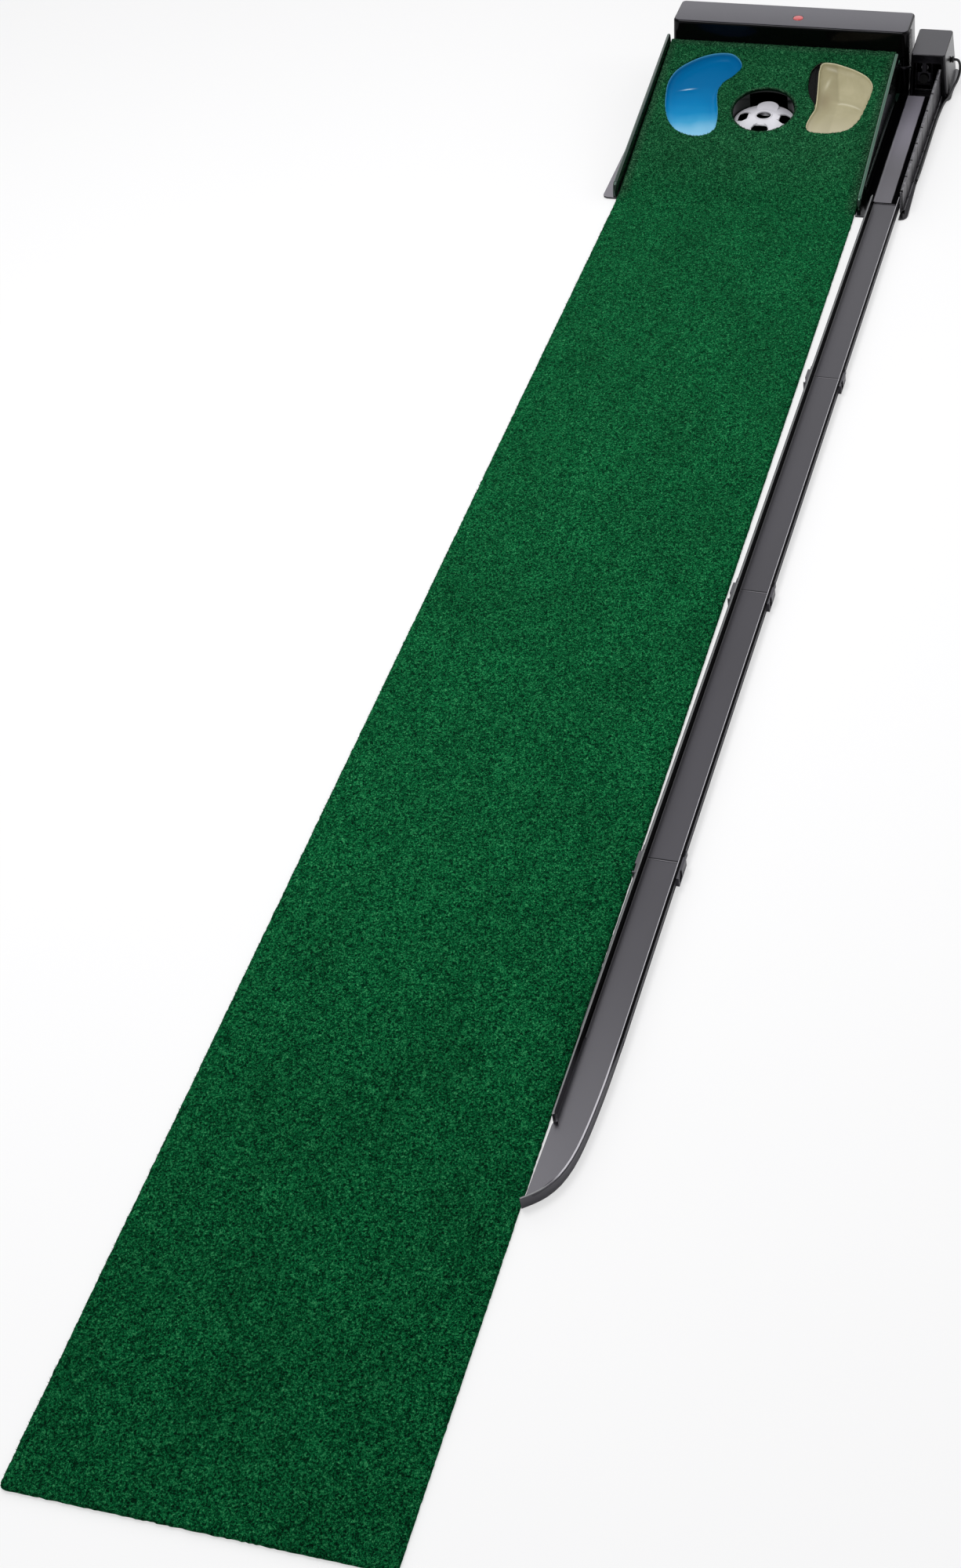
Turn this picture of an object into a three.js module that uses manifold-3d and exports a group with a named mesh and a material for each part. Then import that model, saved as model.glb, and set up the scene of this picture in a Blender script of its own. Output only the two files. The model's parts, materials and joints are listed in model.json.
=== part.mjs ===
// Practice putting mat with a sloping target end, an electric ball kicker and a
// clip-together return track. Millimetres, +Z up, +Y from the golfer to the
// target, +X towards the return track. The finished origin is on the floor, under
// the centre of the cup. Pieces are drawn with Y = 0 at the foot of the ramp and
// moved back by CUP_Y as they are added. Front means towards the golfer.
import * as THREE from 'three';
import { mergeVertices } from 'three/addons/utils/BufferGeometryUtils.js';
import Module from 'manifold-3d';

const wasm = await Module();
wasm.setup();

// ---------------------------------------------------------------- dimensions
const MAT_WIDTH = 406.4;            // 16 in
const MAT_LENGTH = 2743.2;          // 9 ft, flat run and slope together
const MAT_THICK = 4;
const SLOPE_LENGTH = 418.5;         // length of the turf that lies on the ramp
const RAMP_DEG = 10.49;
const BEND_FRONT = -29;             // the turf curves up from the floor here
const BEND_REAR = 25;               // and is straight again from here

const CUP_Y = 241.3;                // cup centre behind the foot of the ramp
const CUP_R = 54;                   // 4.25 in regulation hole
const CUP_SEGMENTS = 36;
const PLATE_R = 53.4;               // tilting target plate in the cup
const PLATE_BORE_R = 12.4;
const PLATE_THICK = 2.2;
const PLATE_RIM_Z = 28;
const PLATE_TOP_Z = 38.3;
const HINGE_Y = 197.3;              // target plate hinge
const HINGE_Z = 23;
const HINGE_PIN_R = 1.5;
const HINGE_BORE_R = 1.56;

const BASE_THICK = 3;               // floor plate of the head
const BASE_LEFT = -230;
const GAP = 0.3;
const SEAT_Z = BASE_THICK + GAP;    // where parts stand on the floor plate
const DECK_THICK = 3;
const DECK_HALF = 204.3;
const RAIL_INNER = 204.7;
const RAIL_THICK = 6.9;
const RAIL_OUTER = RAIL_INNER + RAIL_THICK;
const HOOD_TOP = 115;
const LAMP_X = 21.5;                // indicator lens in the top of the hood
const LAMP_Y = 446.3;
const LAMP_R = 9;

const CHUTE_FRONT = 17;             // outer wall of the chute
const CHUTE_REAR = 400;
const CHUTE_FLOOR_Z = 4.4;
const CHUTE_RIGHT = 275.4;

const KICKER_TOP = 82;
const KICK_X = 251;                 // centre line of the arm and solenoid
const PIVOT_Y = 430;                // kicker arm pivot
const PIVOT_Z = 68;
const PIVOT_PIN_R = 2;
const PIVOT_BORE_R = 2.06;
const SOLENOID_Z = 41;
const CORD_Y = 462;                 // where the cord leaves the kicker housing
const CORD_Z = 45;

const HOOD_SCREWS = [[-185, 480], [185, 480]];      // x, y
const KICKER_SCREWS = [[238, 497], [289, 497]];
const SCREWS = [...HOOD_SCREWS, ...KICKER_SCREWS];
const SCREW_R = 1.5;
const SCREW_PILOT_R = 1.7;          // hole in a boss
const SCREW_CLEAR_R = 2;            // hole in the floor plate

const TRACK_ANGLE = -0.0096;        // the track converges slightly on the mat
const TRACK_X = 248.5;              // centre line at the head
const TRACK_IN = 43.2;              // clear width, ball is 42.7
const TRACK_WALL = 2.1;
const TRACK_TOP = 18.5;
const TRACK_FLOOR = 2.5;
const TRACK_LEDGE = 1.6;
const LEDGE_BOTTOM = 15;
const LEDGE_TOP = 16.6;
const FIRST_SEAM = 46;
const SECTION_PITCH = 492;          // pitch of one clip-together section
const SECTION_COUNT = 3;            // straight sections ahead of the end section
const SEAM_INSET = 0.2;             // each section stops this far from the seam
const STRAIGHT_END = -1700;         // where the end section starts to change shape

const RAMP_ANGLE = THREE.MathUtils.degToRad(RAMP_DEG);
const RAMP_TAN = Math.tan(RAMP_ANGLE);
const RAMP_COS = Math.cos(RAMP_ANGLE);

// ------------------------------------------------------------------- helpers
function solidFrom(source) {
  for (const name of Object.keys(source.attributes)) {
    if (name !== 'position') source.deleteAttribute(name);
  }
  const geometry = mergeVertices(source, 1e-4);
  const positions = geometry.attributes.position.array;
  const corners = geometry.index.array;
  const vertex = (i) => new THREE.Vector3().fromArray(positions, 3 * i);
  const triangles = [];
  let volume = 0;
  for (let i = 0; i < corners.length; i += 3) {
    const [a, b, c] = corners.slice(i, i + 3);
    if (a === b || b === c || a === c) continue;
    triangles.push(a, b, c);
    volume += vertex(a).dot(vertex(b).cross(vertex(c)));
  }
  // an inside-out skin has its triangles turned over
  if (volume < 0) {
    for (let i = 0; i < triangles.length; i += 3) {
      [triangles[i], triangles[i + 1]] = [triangles[i + 1], triangles[i]];
    }
  }
  return new wasm.Manifold(new wasm.Mesh({
    numProp: 3,
    vertProperties: new Float32Array(positions),
    triVerts: new Uint32Array(triangles),
  }));
}

function meshOf(name, solid, finish) {
  const { vertProperties, triVerts } = solid.getMesh();
  const geometry = new THREE.BufferGeometry();
  geometry.setAttribute('position', new THREE.BufferAttribute(new Float32Array(vertProperties), 3));
  geometry.setIndex(new THREE.BufferAttribute(new Uint32Array(triVerts), 1));
  const mesh = new THREE.Mesh(geometry, new THREE.MeshStandardMaterial(finish));
  mesh.name = name;
  return mesh;
}

const shapeOf = (points) => new THREE.Shape(points.map(([x, y]) => new THREE.Vector2(x, y)));
const extrude = (points, depth) => new THREE.ExtrudeGeometry(
  shapeOf(points), { depth, bevelEnabled: false });

// a polygon in X,Y raised from z0 to z1
function prismZ(points, z0, z1) {
  return solidFrom(extrude(points, z1 - z0).translate(0, 0, z0));
}
// a polygon in Y,Z swept from x0 to x1
function prismX(points, x0, x1) {
  const turn = new THREE.Matrix4().set(0, 0, 1, x0, 1, 0, 0, 0, 0, 1, 0, 0, 0, 0, 0, 1);
  return solidFrom(extrude(points, x1 - x0).applyMatrix4(turn));
}
// a polygon in X,Z swept from y0 to y1
function prismY(points, y0, y1) {
  const turn = new THREE.Matrix4().set(1, 0, 0, 0, 0, 0, -1, y1, 0, 1, 0, 0, 0, 0, 0, 1);
  return solidFrom(extrude(points, y1 - y0).applyMatrix4(turn));
}
function block(x0, x1, y0, y1, z0, z1) {
  const box = new THREE.BoxGeometry(x1 - x0, y1 - y0, z1 - z0);
  return solidFrom(box.translate((x0 + x1) / 2, (y0 + y1) / 2, (z0 + z1) / 2));
}
// a round bar between two points, and its forms along each axis
function bar(radius, from, to, segments = 16) {
  const start = new THREE.Vector3(...from);
  const end = new THREE.Vector3(...to);
  const along = end.clone().sub(start);
  const cylinder = new THREE.CylinderGeometry(radius, radius, along.length(), segments);
  const up = new THREE.Vector3(0, 1, 0);
  cylinder.applyQuaternion(new THREE.Quaternion().setFromUnitVectors(up, along.normalize()));
  return solidFrom(cylinder.translate(...start.add(end).multiplyScalar(0.5).toArray()));
}
const barX = (radius, x0, x1, y, z, segments) => bar(radius, [x0, y, z], [x1, y, z], segments);
const barY = (radius, x, y0, y1, z, segments) => bar(radius, [x, y0, z], [x, y1, z], segments);
const barZ = (radius, x, y, z0, z1, segments) => bar(radius, [x, y, z0], [x, y, z1], segments);

// a [radius, height] profile turned about a vertical axis at x, y
function turned(profile, x, y) {
  const lathe = new THREE.LatheGeometry(profile.map(([r, z]) => new THREE.Vector2(r, z)), 32);
  return solidFrom(lathe.rotateX(Math.PI / 2).translate(x, y, 0));
}
// a round wire swept along a curve
function wire(radius, sides, curve, steps) {
  const ring = [];
  for (let i = 0; i < sides; i++) {
    const angle = (i / sides) * 2 * Math.PI;
    ring.push([radius * Math.cos(angle), radius * Math.sin(angle)]);
  }
  return solidFrom(new THREE.ExtrudeGeometry(
    shapeOf(ring), { steps, bevelEnabled: false, extrudePath: curve }));
}
// skin over closed rings that share a point count, with flat ends
function loft(rings) {
  const count = rings[0].length;
  const indices = [];
  for (let k = 0; k < rings.length - 1; k++) {
    for (let i = 0; i < count; i++) {
      const a = k * count + i;
      const b = k * count + (i + 1) % count;
      indices.push(a, b, b + count, a, b + count, a + count);
    }
  }
  const cap = (k, flip) => {
    const outline = rings[k].map(([x, y]) => new THREE.Vector2(x, y));
    for (const face of THREE.ShapeUtils.triangulateShape(outline, [])) {
      const [a, b, c] = face.map((i) => k * count + i);
      indices.push(a, flip ? c : b, flip ? b : c);
    }
  };
  cap(0, true);
  cap(rings.length - 1, false);
  const geometry = new THREE.BufferGeometry();
  geometry.setAttribute('position', new THREE.Float32BufferAttribute(rings.flat(2), 3));
  geometry.setIndex(indices);
  return solidFrom(geometry);
}
// radii is one number, or [front-left, front-right, rear-right, rear-left]
function roundedRect(x0, x1, y0, y1, radii, segments = 3) {
  const [r0, r1, r2, r3] = Array.isArray(radii) ? radii : [radii, radii, radii, radii];
  const out = [];
  const corner = (x, y, radius, start) => {
    for (let i = 0; i <= segments; i++) {
      const angle = start + (i / segments) * (Math.PI / 2);
      out.push([x + radius * Math.cos(angle), y + radius * Math.sin(angle)]);
    }
  };
  corner(x0 + r0, y0 + r0, r0, Math.PI);
  corner(x1 - r1, y0 + r1, r1, 1.5 * Math.PI);
  corner(x1 - r2, y1 - r2, r2, 0);
  corner(x0 + r3, y1 - r3, r3, 0.5 * Math.PI);
  return out;
}
const atHeight = (points, z) => points.map(([x, y]) => [x, y, z]);
const spline = (points, closed) => new THREE.CatmullRomCurve3(
  points.map(([x, y, z = 0]) => new THREE.Vector3(x, y, z)), closed, 'centripetal');

// closed smooth outline through clockwise points, returned anticlockwise
function smooth(points, count) {
  const spaced = spline(points, true).getSpacedPoints(count).slice(0, count);
  return spaced.map((p) => [p.x, p.y]).reverse();
}
// point moved by distance to the right of the direction from before to after
function offset([x, y], before, after, distance) {
  const dx = after[0] - before[0];
  const dy = after[1] - before[1];
  const length = Math.hypot(dx, dy);
  return [x + (dy / length) * distance, y - (dx / length) * distance];
}
// anticlockwise outline moved outwards along its averaged normals
function grow(points, distance) {
  const n = points.length;
  return points.map((p, i) => offset(p, points[(i + n - 1) % n], points[(i + 1) % n], distance));
}
// tilts a solid drawn as x across, y up the slope, z square to the deck's top face
const onSlope = (solid) => solid.rotate([RAMP_DEG, 0, 0]);

// ---------------------------------------------------------- hazard outlines
// x across, distance up the slope
const WATER = smooth([
  [-103, 391], [-84, 389], [-68, 374], [-61, 355], [-70, 331], [-84, 312], [-90, 290],
  [-86, 264], [-79, 236], [-75, 210], [-75, 190], [-86, 174], [-108, 168], [-135, 176],
  [-155, 194], [-171, 226], [-181, 268], [-184, 308], [-175, 340], [-152, 367], [-127, 384],
], 36);
// the opening in the turf and the tray share their right-hand side
const SAND_RIGHT = [
  [118, 375], [147, 362], [167, 347], [178, 327], [179, 305], [176, 278], [172, 248],
  [164, 222], [150, 206], [128, 198], [101, 196], [87, 200], [81, 212], [83, 236],
];
const SAND_CUT = smooth([
  [75, 379], [95, 381], ...SAND_RIGHT,
  [87, 258], [83, 272], [73, 288], [66, 310], [63, 337], [65, 362],
], 38);
const SAND_TRAY = smooth([
  [80, 379], [97, 381], ...SAND_RIGHT,
  [88, 258], [87, 280], [84, 305], [80, 335], [77, 362],
], 36);

// ------------------------------------------------------------------ turf mat
function turfMat() {
  const half = MAT_WIDTH / 2;
  const front = -(MAT_LENGTH - SLOPE_LENGTH);
  // underside as y, z: flat run, parabolic bend, straight slope
  const curvature = RAMP_TAN / (2 * (BEND_REAR - BEND_FRONT));
  const bendZ = (y) => curvature * (y - BEND_FRONT) ** 2;
  const under = [[front, 0], [BEND_FRONT, 0]];
  for (const y of [-16, -4, 8, 17, BEND_REAR]) under.push([y, bendZ(y)]);
  const rear = SLOPE_LENGTH * RAMP_COS;
  under.push([rear, bendZ(BEND_REAR) + (rear - BEND_REAR) * RAMP_TAN]);

  const last = under.length - 1;
  const over = under.map(([y, z], i) => {
    const before = under[Math.max(0, i - 1)];
    const after = under[Math.min(last, i + 1)];
    const angle = Math.atan2(after[1] - before[1], after[0] - before[0]);
    // the rear end is cut upright
    const shift = i === last ? 0 : MAT_THICK * Math.sin(angle);
    return [y - shift, z + MAT_THICK / Math.cos(angle)];
  });
  const plan = roundedRect(-half, half, front, 420, [7, 7, 0.01, 0.01]);
  let mat = prismX([...under, ...over.reverse()], -half, half).intersect(prismZ(plan, -1, 120));
  for (const outline of [WATER, SAND_CUT]) {
    mat = mat.subtract(prismZ(outline.map(([x, s]) => [x, s * RAMP_COS]), 5, 120));
  }
  return mat.subtract(barZ(CUP_R, 0, CUP_Y, 5, 120, CUP_SEGMENTS));
}

// ---------------------------------------------------------------------- head
// floor plate with a notch for the mouth of the return track
function basePlate() {
  const recessHalf = 204.4;
  const outline = [
    [BASE_LEFT + 8, 2], [204.6, 2], [221, 2], [221, 44.6], [276.6, 44.6], [276.6, 2], [280, 2],
    [285, 4], [289, 9], [290.5, 16], [289.5, 60], [288.5, 110], [289.5, 200], [290.5, 380],
    [294, 392], [300, 398], [303, 404], [303, 502], [299, 507], [228, 507], [224, 496],
    [-222, 496], [-228, 493], [BASE_LEFT, 487], [BASE_LEFT, 10], [BASE_LEFT + 2, 5],
  ];
  // cut away and thinned at the front, where the turf bends up over the plate
  const turfRecess = [[-1, 1.1], [8, 1.9], [15.5, 2.95], [15.5, 9], [-1, 9]];
  let base = prismZ(outline, 0, BASE_THICK);
  base = base.subtract(prismX(turfRecess, -recessHalf, recessHalf));
  base = base.subtract(block(-recessHalf, recessHalf, -1, 8, -1, 9));
  for (const [x, y] of SCREWS) base = base.subtract(barZ(SCREW_CLEAR_R, x, y, -1, 9, 12));
  return base;
}

// webs and drop walls that carry the deck on the floor plate: x0, x1, y0, y1
const DECK_WEBS = [
  [-DECK_HALF, -201.8, 40, 411], [201.8, DECK_HALF, 40, 340],
  [-199.5, -197.3, 60, 411], [-58.5, -56.8, 225, 411],
  [-201.9, -197.2, 400, 402.5], [-57, -45, 405, 407.5], [-197.4, -58.4, 405, 407.5],
];

// moulded deck under the turf, with the two hazard wells and the cup opening
function rampDeck() {
  let deck = block(-DECK_HALF, DECK_HALF, 20, SLOPE_LENGTH - 0.2, -DECK_THICK, 0);
  for (const outline of [WATER, SAND_TRAY]) {
    // shallow seat for the tray's rim, then the well itself
    deck = deck.subtract(prismZ(grow(outline, 5.8), -1.85, 5));
    deck = deck.subtract(prismZ(grow(outline, -0.3), -9, 5));
  }
  deck = onSlope(deck);
  deck = deck.subtract(barZ(57.4, 0, CUP_Y, 0, 120, CUP_SEGMENTS));
  deck = deck.subtract(block(-210, 210, 0, 60, -20, SEAT_Z));
  const webTop = (y) => y * RAMP_TAN - DECK_THICK / RAMP_COS + 0.5;
  for (const [x0, x1, y0, y1] of DECK_WEBS) {
    const side = [[y0, SEAT_Z], [y1, SEAT_Z], [y1, webTop(y1)], [y0, webTop(y0)]];
    deck = deck.add(prismX(side, x0, x1));
  }
  return deck;
}

// side walls of the ramp; their tops stand above the turf as low rails
function leftRail() {
  const side = [[3, SEAT_Z], [3.2, 9], [4.6, 16], [8, 22.5], [13, 27], [411, 89.4], [411, SEAT_Z]];
  return prismX(side, -RAIL_OUTER, -RAIL_INNER);
}
function rightRail() {
  const side = [
    [12, SEAT_Z], [12.4, 10], [14.5, 17], [19, 23], [25, 26.4],
    [386, 91.3], [389, 88], [390, 66], [409, 66], [409, SEAT_Z],
  ];
  const buttress = [[211, SEAT_Z], [217.5, SEAT_Z], [214, 22], [211, 26]];
  const ballExit = block(200, 222, 354.5, 404, 4.6, 57);
  return prismX(side, RAIL_INNER, RAIL_OUTER).add(prismY(buttress, 56, 350)).subtract(ballExit);
}

// backstop hood, an open-bottomed shell
function backstopHood() {
  const outer = loft([
    atHeight(roundedRect(-207, 225, 412, 493, [9, 9, 6, 6]), SEAT_Z),
    atHeight(roundedRect(-200.5, 224, 413.2, 490.5, [12, 12, 8, 8]), HOOD_TOP - 3),
    atHeight(roundedRect(-198, 221.5, 416, 488, [11, 11, 7, 7]), HOOD_TOP),
  ]);
  const inner = loft([
    atHeight(roundedRect(-203.8, 221.8, 415.2, 489.8, [7, 7, 4, 4]), -2),
    atHeight(roundedRect(-197.5, 220.8, 416.6, 487.3, [9, 9, 5, 5]), HOOD_TOP - 3.2),
  ]);
  let hood = outer.subtract(inner);
  // screw bosses standing on the floor plate
  for (const [x, y] of HOOD_SCREWS) {
    hood = hood.add(barZ(4.5, x, y, SEAT_Z, HOOD_TOP - 2, 12));
    hood = hood.subtract(barZ(SCREW_PILOT_R, x, y, -1, 20, 12));
  }
  return hood.subtract(barZ(LAMP_R + GAP, LAMP_X, LAMP_Y, HOOD_TOP - 10, HOOD_TOP + 5, 32));
}

// round indicator lens let into the hood's top, with a collar below it
function powerLamp() {
  const collarR = 10.6;
  return turned([
    [0, HOOD_TOP - 6.5], [collarR, HOOD_TOP - 6.5], [collarR, HOOD_TOP - 3.5],
    [LAMP_R, HOOD_TOP - 3.5], [LAMP_R, HOOD_TOP - 0.3], [LAMP_R - 0.6, HOOD_TOP + 0.2],
    [0, HOOD_TOP + 0.5],
  ], LAMP_X, LAMP_Y);
}

// sloping pan that leads the ball from the back of the cup to the chute
function ballGutter() {
  const outline = [
    [-37.5, 299], [37.5, 299], [37.5, 352.2], [204.2, 352.2], [204.2, 406], [-37.5, 406],
  ];
  const hollow = [[-35, 298], [35, 298], [35, 354.7], [206, 354.7], [206, 403.6], [-35, 403.6]];
  // the pan's floor falls to the right and to the rear
  const floorZ = (x, y) => 10.5 - 0.012 * (x + 35) - 0.02 * (y - 297);
  const cut = loft([hollow.map(([x, y]) => [x, y, floorZ(x, y)]), atHeight(hollow, 60)]);
  return prismZ(outline, SEAT_Z, 47).subtract(cut);
}

// chute floor with a coved edge against the ramp wall
function chuteFloor() {
  const profile = [
    [218.2, SEAT_Z], [CHUTE_RIGHT, SEAT_Z], [CHUTE_RIGHT, CHUTE_FLOOR_Z], [231.5, CHUTE_FLOOR_Z],
    [227, 5.6], [222.6, 9], [219.4, 14.5], [217.6, 21], [215.4, 21], [218.1, 5],
  ];
  return prismY(profile, 45, 352)
    .add(block(212.2, CHUTE_RIGHT, 351, 399.5, SEAT_Z, CHUTE_FLOOR_Z));
}

// outer wall of the chute: plain inside, panelled outside, with a curled foot
function chuteWall() {
  // the inner face leans outwards and the top rises towards the rear
  const along = (y) => (y - CHUTE_FRONT) / (CHUTE_REAR - CHUTE_FRONT);
  const faceX = (y) => 276.1 + along(y) * 4.6;
  const topZ = (y) => 44 + along(y) * 14.5;
  const frontTop = topZ(CHUTE_FRONT);
  const rearTop = topZ(CHUTE_REAR);
  // x0, x1 are measured from the inner face; the ends have their own z ranges
  const slab = ([x0, x1], [y0, y1], frontZ, rearZ) => loft([0, 1].map((k) => [
    [faceX(y0) + x0, y0, frontZ[k]], [faceX(y0) + x1, y0, frontZ[k]],
    [faceX(y1) + x1, y1, rearZ[k]], [faceX(y1) + x0, y1, rearZ[k]],
  ]));
  let wall = slab([0, 2.6], [CHUTE_FRONT + 4, CHUTE_REAR],
    [SEAT_Z, frontTop - 1], [SEAT_Z, rearTop]);
  const roundedEnd = [
    [CHUTE_FRONT + 5, SEAT_Z], [CHUTE_FRONT + 5, 43], [CHUTE_FRONT + 1.6, 41.5],
    [CHUTE_FRONT, 37], [CHUTE_FRONT, 12], [CHUTE_FRONT + 2, SEAT_Z],
  ];
  wall = wall.add(prismX(roundedEnd, 276.2, 278.7));
  // lip along the top
  wall = wall.add(slab([2.3, 4.2], [CHUTE_FRONT + 5, CHUTE_REAR],
    [frontTop - 4.2, frontTop - 1], [rearTop - 3.2, rearTop]));
  // eight raised panels; the foot of each joint between them is further back
  const joints = [22, 64, 113, 163, 213, 265, 319, 364, CHUTE_REAR];
  const lastPanel = joints.length - 2;
  for (let i = 0; i <= lastPanel; i++) {
    const y0 = joints[i] + 0.8;
    const y1 = joints[i + 1] - (i === lastPanel ? 0 : 0.8);
    const foot0 = y0 + (i === 0 ? 0 : 7);
    const foot1 = y1 + (i === lastPanel ? 0 : 7);
    const [x0, x1] = [faceX(y0), faceX(y1)];
    const [z0, z1] = [topZ(y0) - 5.2, topZ(y1) - 5.2];
    wall = wall.add(loft([
      [[x0 + 2.3, foot0, 8], [x0 + 4, foot0, 8], [x1 + 4, foot1, 8], [x1 + 2.3, foot1, 8]],
      [[x0 + 2.3, y0, z0], [x0 + 3.4, y0, z0], [x1 + 3.4, y1, z1], [x1 + 2.3, y1, z1]],
    ]));
  }
  // foot flange with a bead along its outer edge
  const footY = [CHUTE_FRONT + 6, CHUTE_REAR - 1];
  wall = wall.add(slab([2.2, 7.2], footY, [SEAT_Z, 5], [SEAT_Z, 5]));
  return wall.add(slab([5.6, 7.2], footY, [SEAT_Z, 7.2], [SEAT_Z, 7.2]));
}

// curved guide over the ball exit, with an upright tab at its left end
function ballExitGuide() {
  const bottom = 57.6;
  const front = [];
  for (let i = 0; i <= 6; i++) {
    const angle = (i / 6) * 1.25;
    front.push([213 + 21.25 * Math.sin(angle), 392 + 11 * (1 - Math.cos(angle))]);
  }
  const back = front.map(([x, y]) => [x - 0.6, y + 2.2]).reverse();
  return prismZ([...front, ...back], bottom, 62)
    .add(prismZ([[211.9, 391.9], [214.6, 391.9], [214.6, 399.6], [211.9, 399.6]], bottom, 67));
}

// ----------------------------------------------------------------------- cup
// liner cut off at the slope, with an opening at the rear for the ball
function cupLiner() {
  return barZ(56.8, 0, CUP_Y, SEAT_Z, 80, CUP_SEGMENTS)
    .subtract(barZ(54.7, 0, CUP_Y, 0, 90, CUP_SEGMENTS))
    .subtract(onSlope(block(-80, 80, 100, 400, -0.2, 90)))
    .subtract(block(-33.5, 33.5, CUP_Y + 20, CUP_Y + 70, 8, 51.8));
}

const hingeBore = (x0, x1) => barX(HINGE_BORE_R, x0, x1, HINGE_Y, HINGE_Z);

// floor of the cup with the two hinge posts
function cupBase() {
  const postWidth = 4;
  const side = [[HINGE_Y - 4.6, 4], [HINGE_Y + 4.6, 4], [HINGE_Y + 3.4, 26], [HINGE_Y - 3.4, 26]];
  let base = barZ(54.3, 0, CUP_Y, SEAT_Z, 5.6, CUP_SEGMENTS);
  for (const x of [-21, 17]) {
    base = base.add(prismX(side, x, x + postWidth).subtract(hingeBore(x - 1, x + 6)));
  }
  return base;
}

// domed target plate
function cupTargetPlate() {
  const domeZ = (r) => PLATE_TOP_Z - (PLATE_TOP_Z - PLATE_RIM_Z) * (r / PLATE_R) ** 2;
  const radii = [15.2, 20, 28, 36, 44, PLATE_R];
  const innerFoot = [PLATE_BORE_R, domeZ(PLATE_BORE_R) - PLATE_THICK];
  const top = radii.map((r) => [r, domeZ(r)]);
  const bottom = radii.map((r) => [Math.min(r, PLATE_R - 0.4), domeZ(r) - PLATE_THICK]);
  // the last points raise a small lip round the bore
  let plate = turned([
    innerFoot, ...bottom, ...top.reverse(), [14.6, domeZ(14) + 1.2], [13.3, domeZ(13) + 1.3],
    [PLATE_BORE_R, domeZ(PLATE_BORE_R) + 0.5], innerFoot,
  ], 0, CUP_Y);
  // raised round step at the back, kept inside the plate's edge
  const step = barZ(19.6, 0, CUP_Y + 33.4, 28.4, 35.6, 28);
  const edgeR = PLATE_R - 0.3;
  plate = plate.add(step.intersect(turned([[0, 20], [edgeR, 20], [edgeR, 40], [0, 40]], 0, CUP_Y)));
  plate = plate.subtract(barZ(PLATE_BORE_R, 0, CUP_Y, 20, 60, 32));
  // slots at the left, front and right: across, outwards
  const slot = [[-11, 28.4], [11, 28.4], [15.6, 36.6], [12.4, 45.2], [-12.4, 45.2], [-15.6, 36.6]];
  for (const degrees of [90, 180, 270]) {
    const angle = THREE.MathUtils.degToRad(degrees);
    const [cos, sin] = [Math.cos(angle), Math.sin(angle)];
    const placed = slot.map(([x, y]) => [x * cos - y * sin, CUP_Y + x * sin + y * cos]);
    plate = plate.subtract(prismZ(placed, 20, 60));
  }
  const lug = [
    [HINGE_Y - 3, 20.4], [HINGE_Y + 3, 20.4], [HINGE_Y + 4.6, 30.5], [HINGE_Y - 4.2, 29.4],
  ];
  for (const x of [-14.5, 11.5]) {
    plate = plate.add(prismX(lug, x, x + 3).subtract(hingeBore(x - 1, x + 4)));
  }
  return plate;
}

// torsion spring round the pin: a leg down, the coil, a leg to the rear
class SpringCurve extends THREE.Curve {
  getPoint(t, target = new THREE.Vector3()) {
    const turns = 4.5;
    const leg = 0.16;               // share of the parameter given to each leg
    const coilR = 2.7;
    const halfWidth = 6;
    if (t < leg) {
      const u = t / leg;
      return target.set(-halfWidth, HINGE_Y - 2.2 + 1.8 * u, HINGE_Z - coilR - (1 - u) * 10.5);
    }
    if (t > 1 - leg) {
      const u = (t - 1 + leg) / leg;
      return target.set(halfWidth, HINGE_Y + 12 * u, HINGE_Z + coilR + 0.6 * u);
    }
    const u = (t - leg) / (1 - 2 * leg);
    const angle = -Math.PI / 2 + u * turns * 2 * Math.PI;
    return target.set(-halfWidth + 2 * halfWidth * u,
      HINGE_Y + coilR * Math.cos(angle), HINGE_Z + coilR * Math.sin(angle));
  }
}

// switch closed by the plate when it tips
function ballSensorSwitch() {
  return block(-10, 10, 258, 268, 5.9, 15.5).add(block(-2.4, 2.4, 261.2, 264.8, 15, 17.3));
}

// -------------------------------------------------------------- hazard trays
// leanX moves the point that the bottom shrinks towards
function hazardTray(outline, depth, leanX) {
  const mean = (k) => outline.reduce((sum, p) => sum + p[k], 0) / outline.length;
  const centreX = mean(0) + leanX;
  const centreY = mean(1);
  const ring = (distance, z) => atHeight(grow(outline, distance), z);
  const bottom = (z) => grow(outline, -9)
    .map(([x, y]) => [centreX + (x - centreX) * 0.5, centreY + (y - centreY) * 0.5, z]);
  const shoulder = -depth * 0.72;
  // up the outside, round the rim and down the inside
  return onSlope(loft([
    bottom(-depth - 1.3), ring(-9, shoulder - 1.4), ring(-3.2, -3.6), ring(-0.8, -1.9),
    ring(-0.8, -1.5), ring(5.2, -1.5), ring(5.2, -0.1),
    ring(-1.2, -0.1), ring(-4.6, -3.2), ring(-10.4, shoulder), bottom(-depth),
  ]));
}

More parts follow.
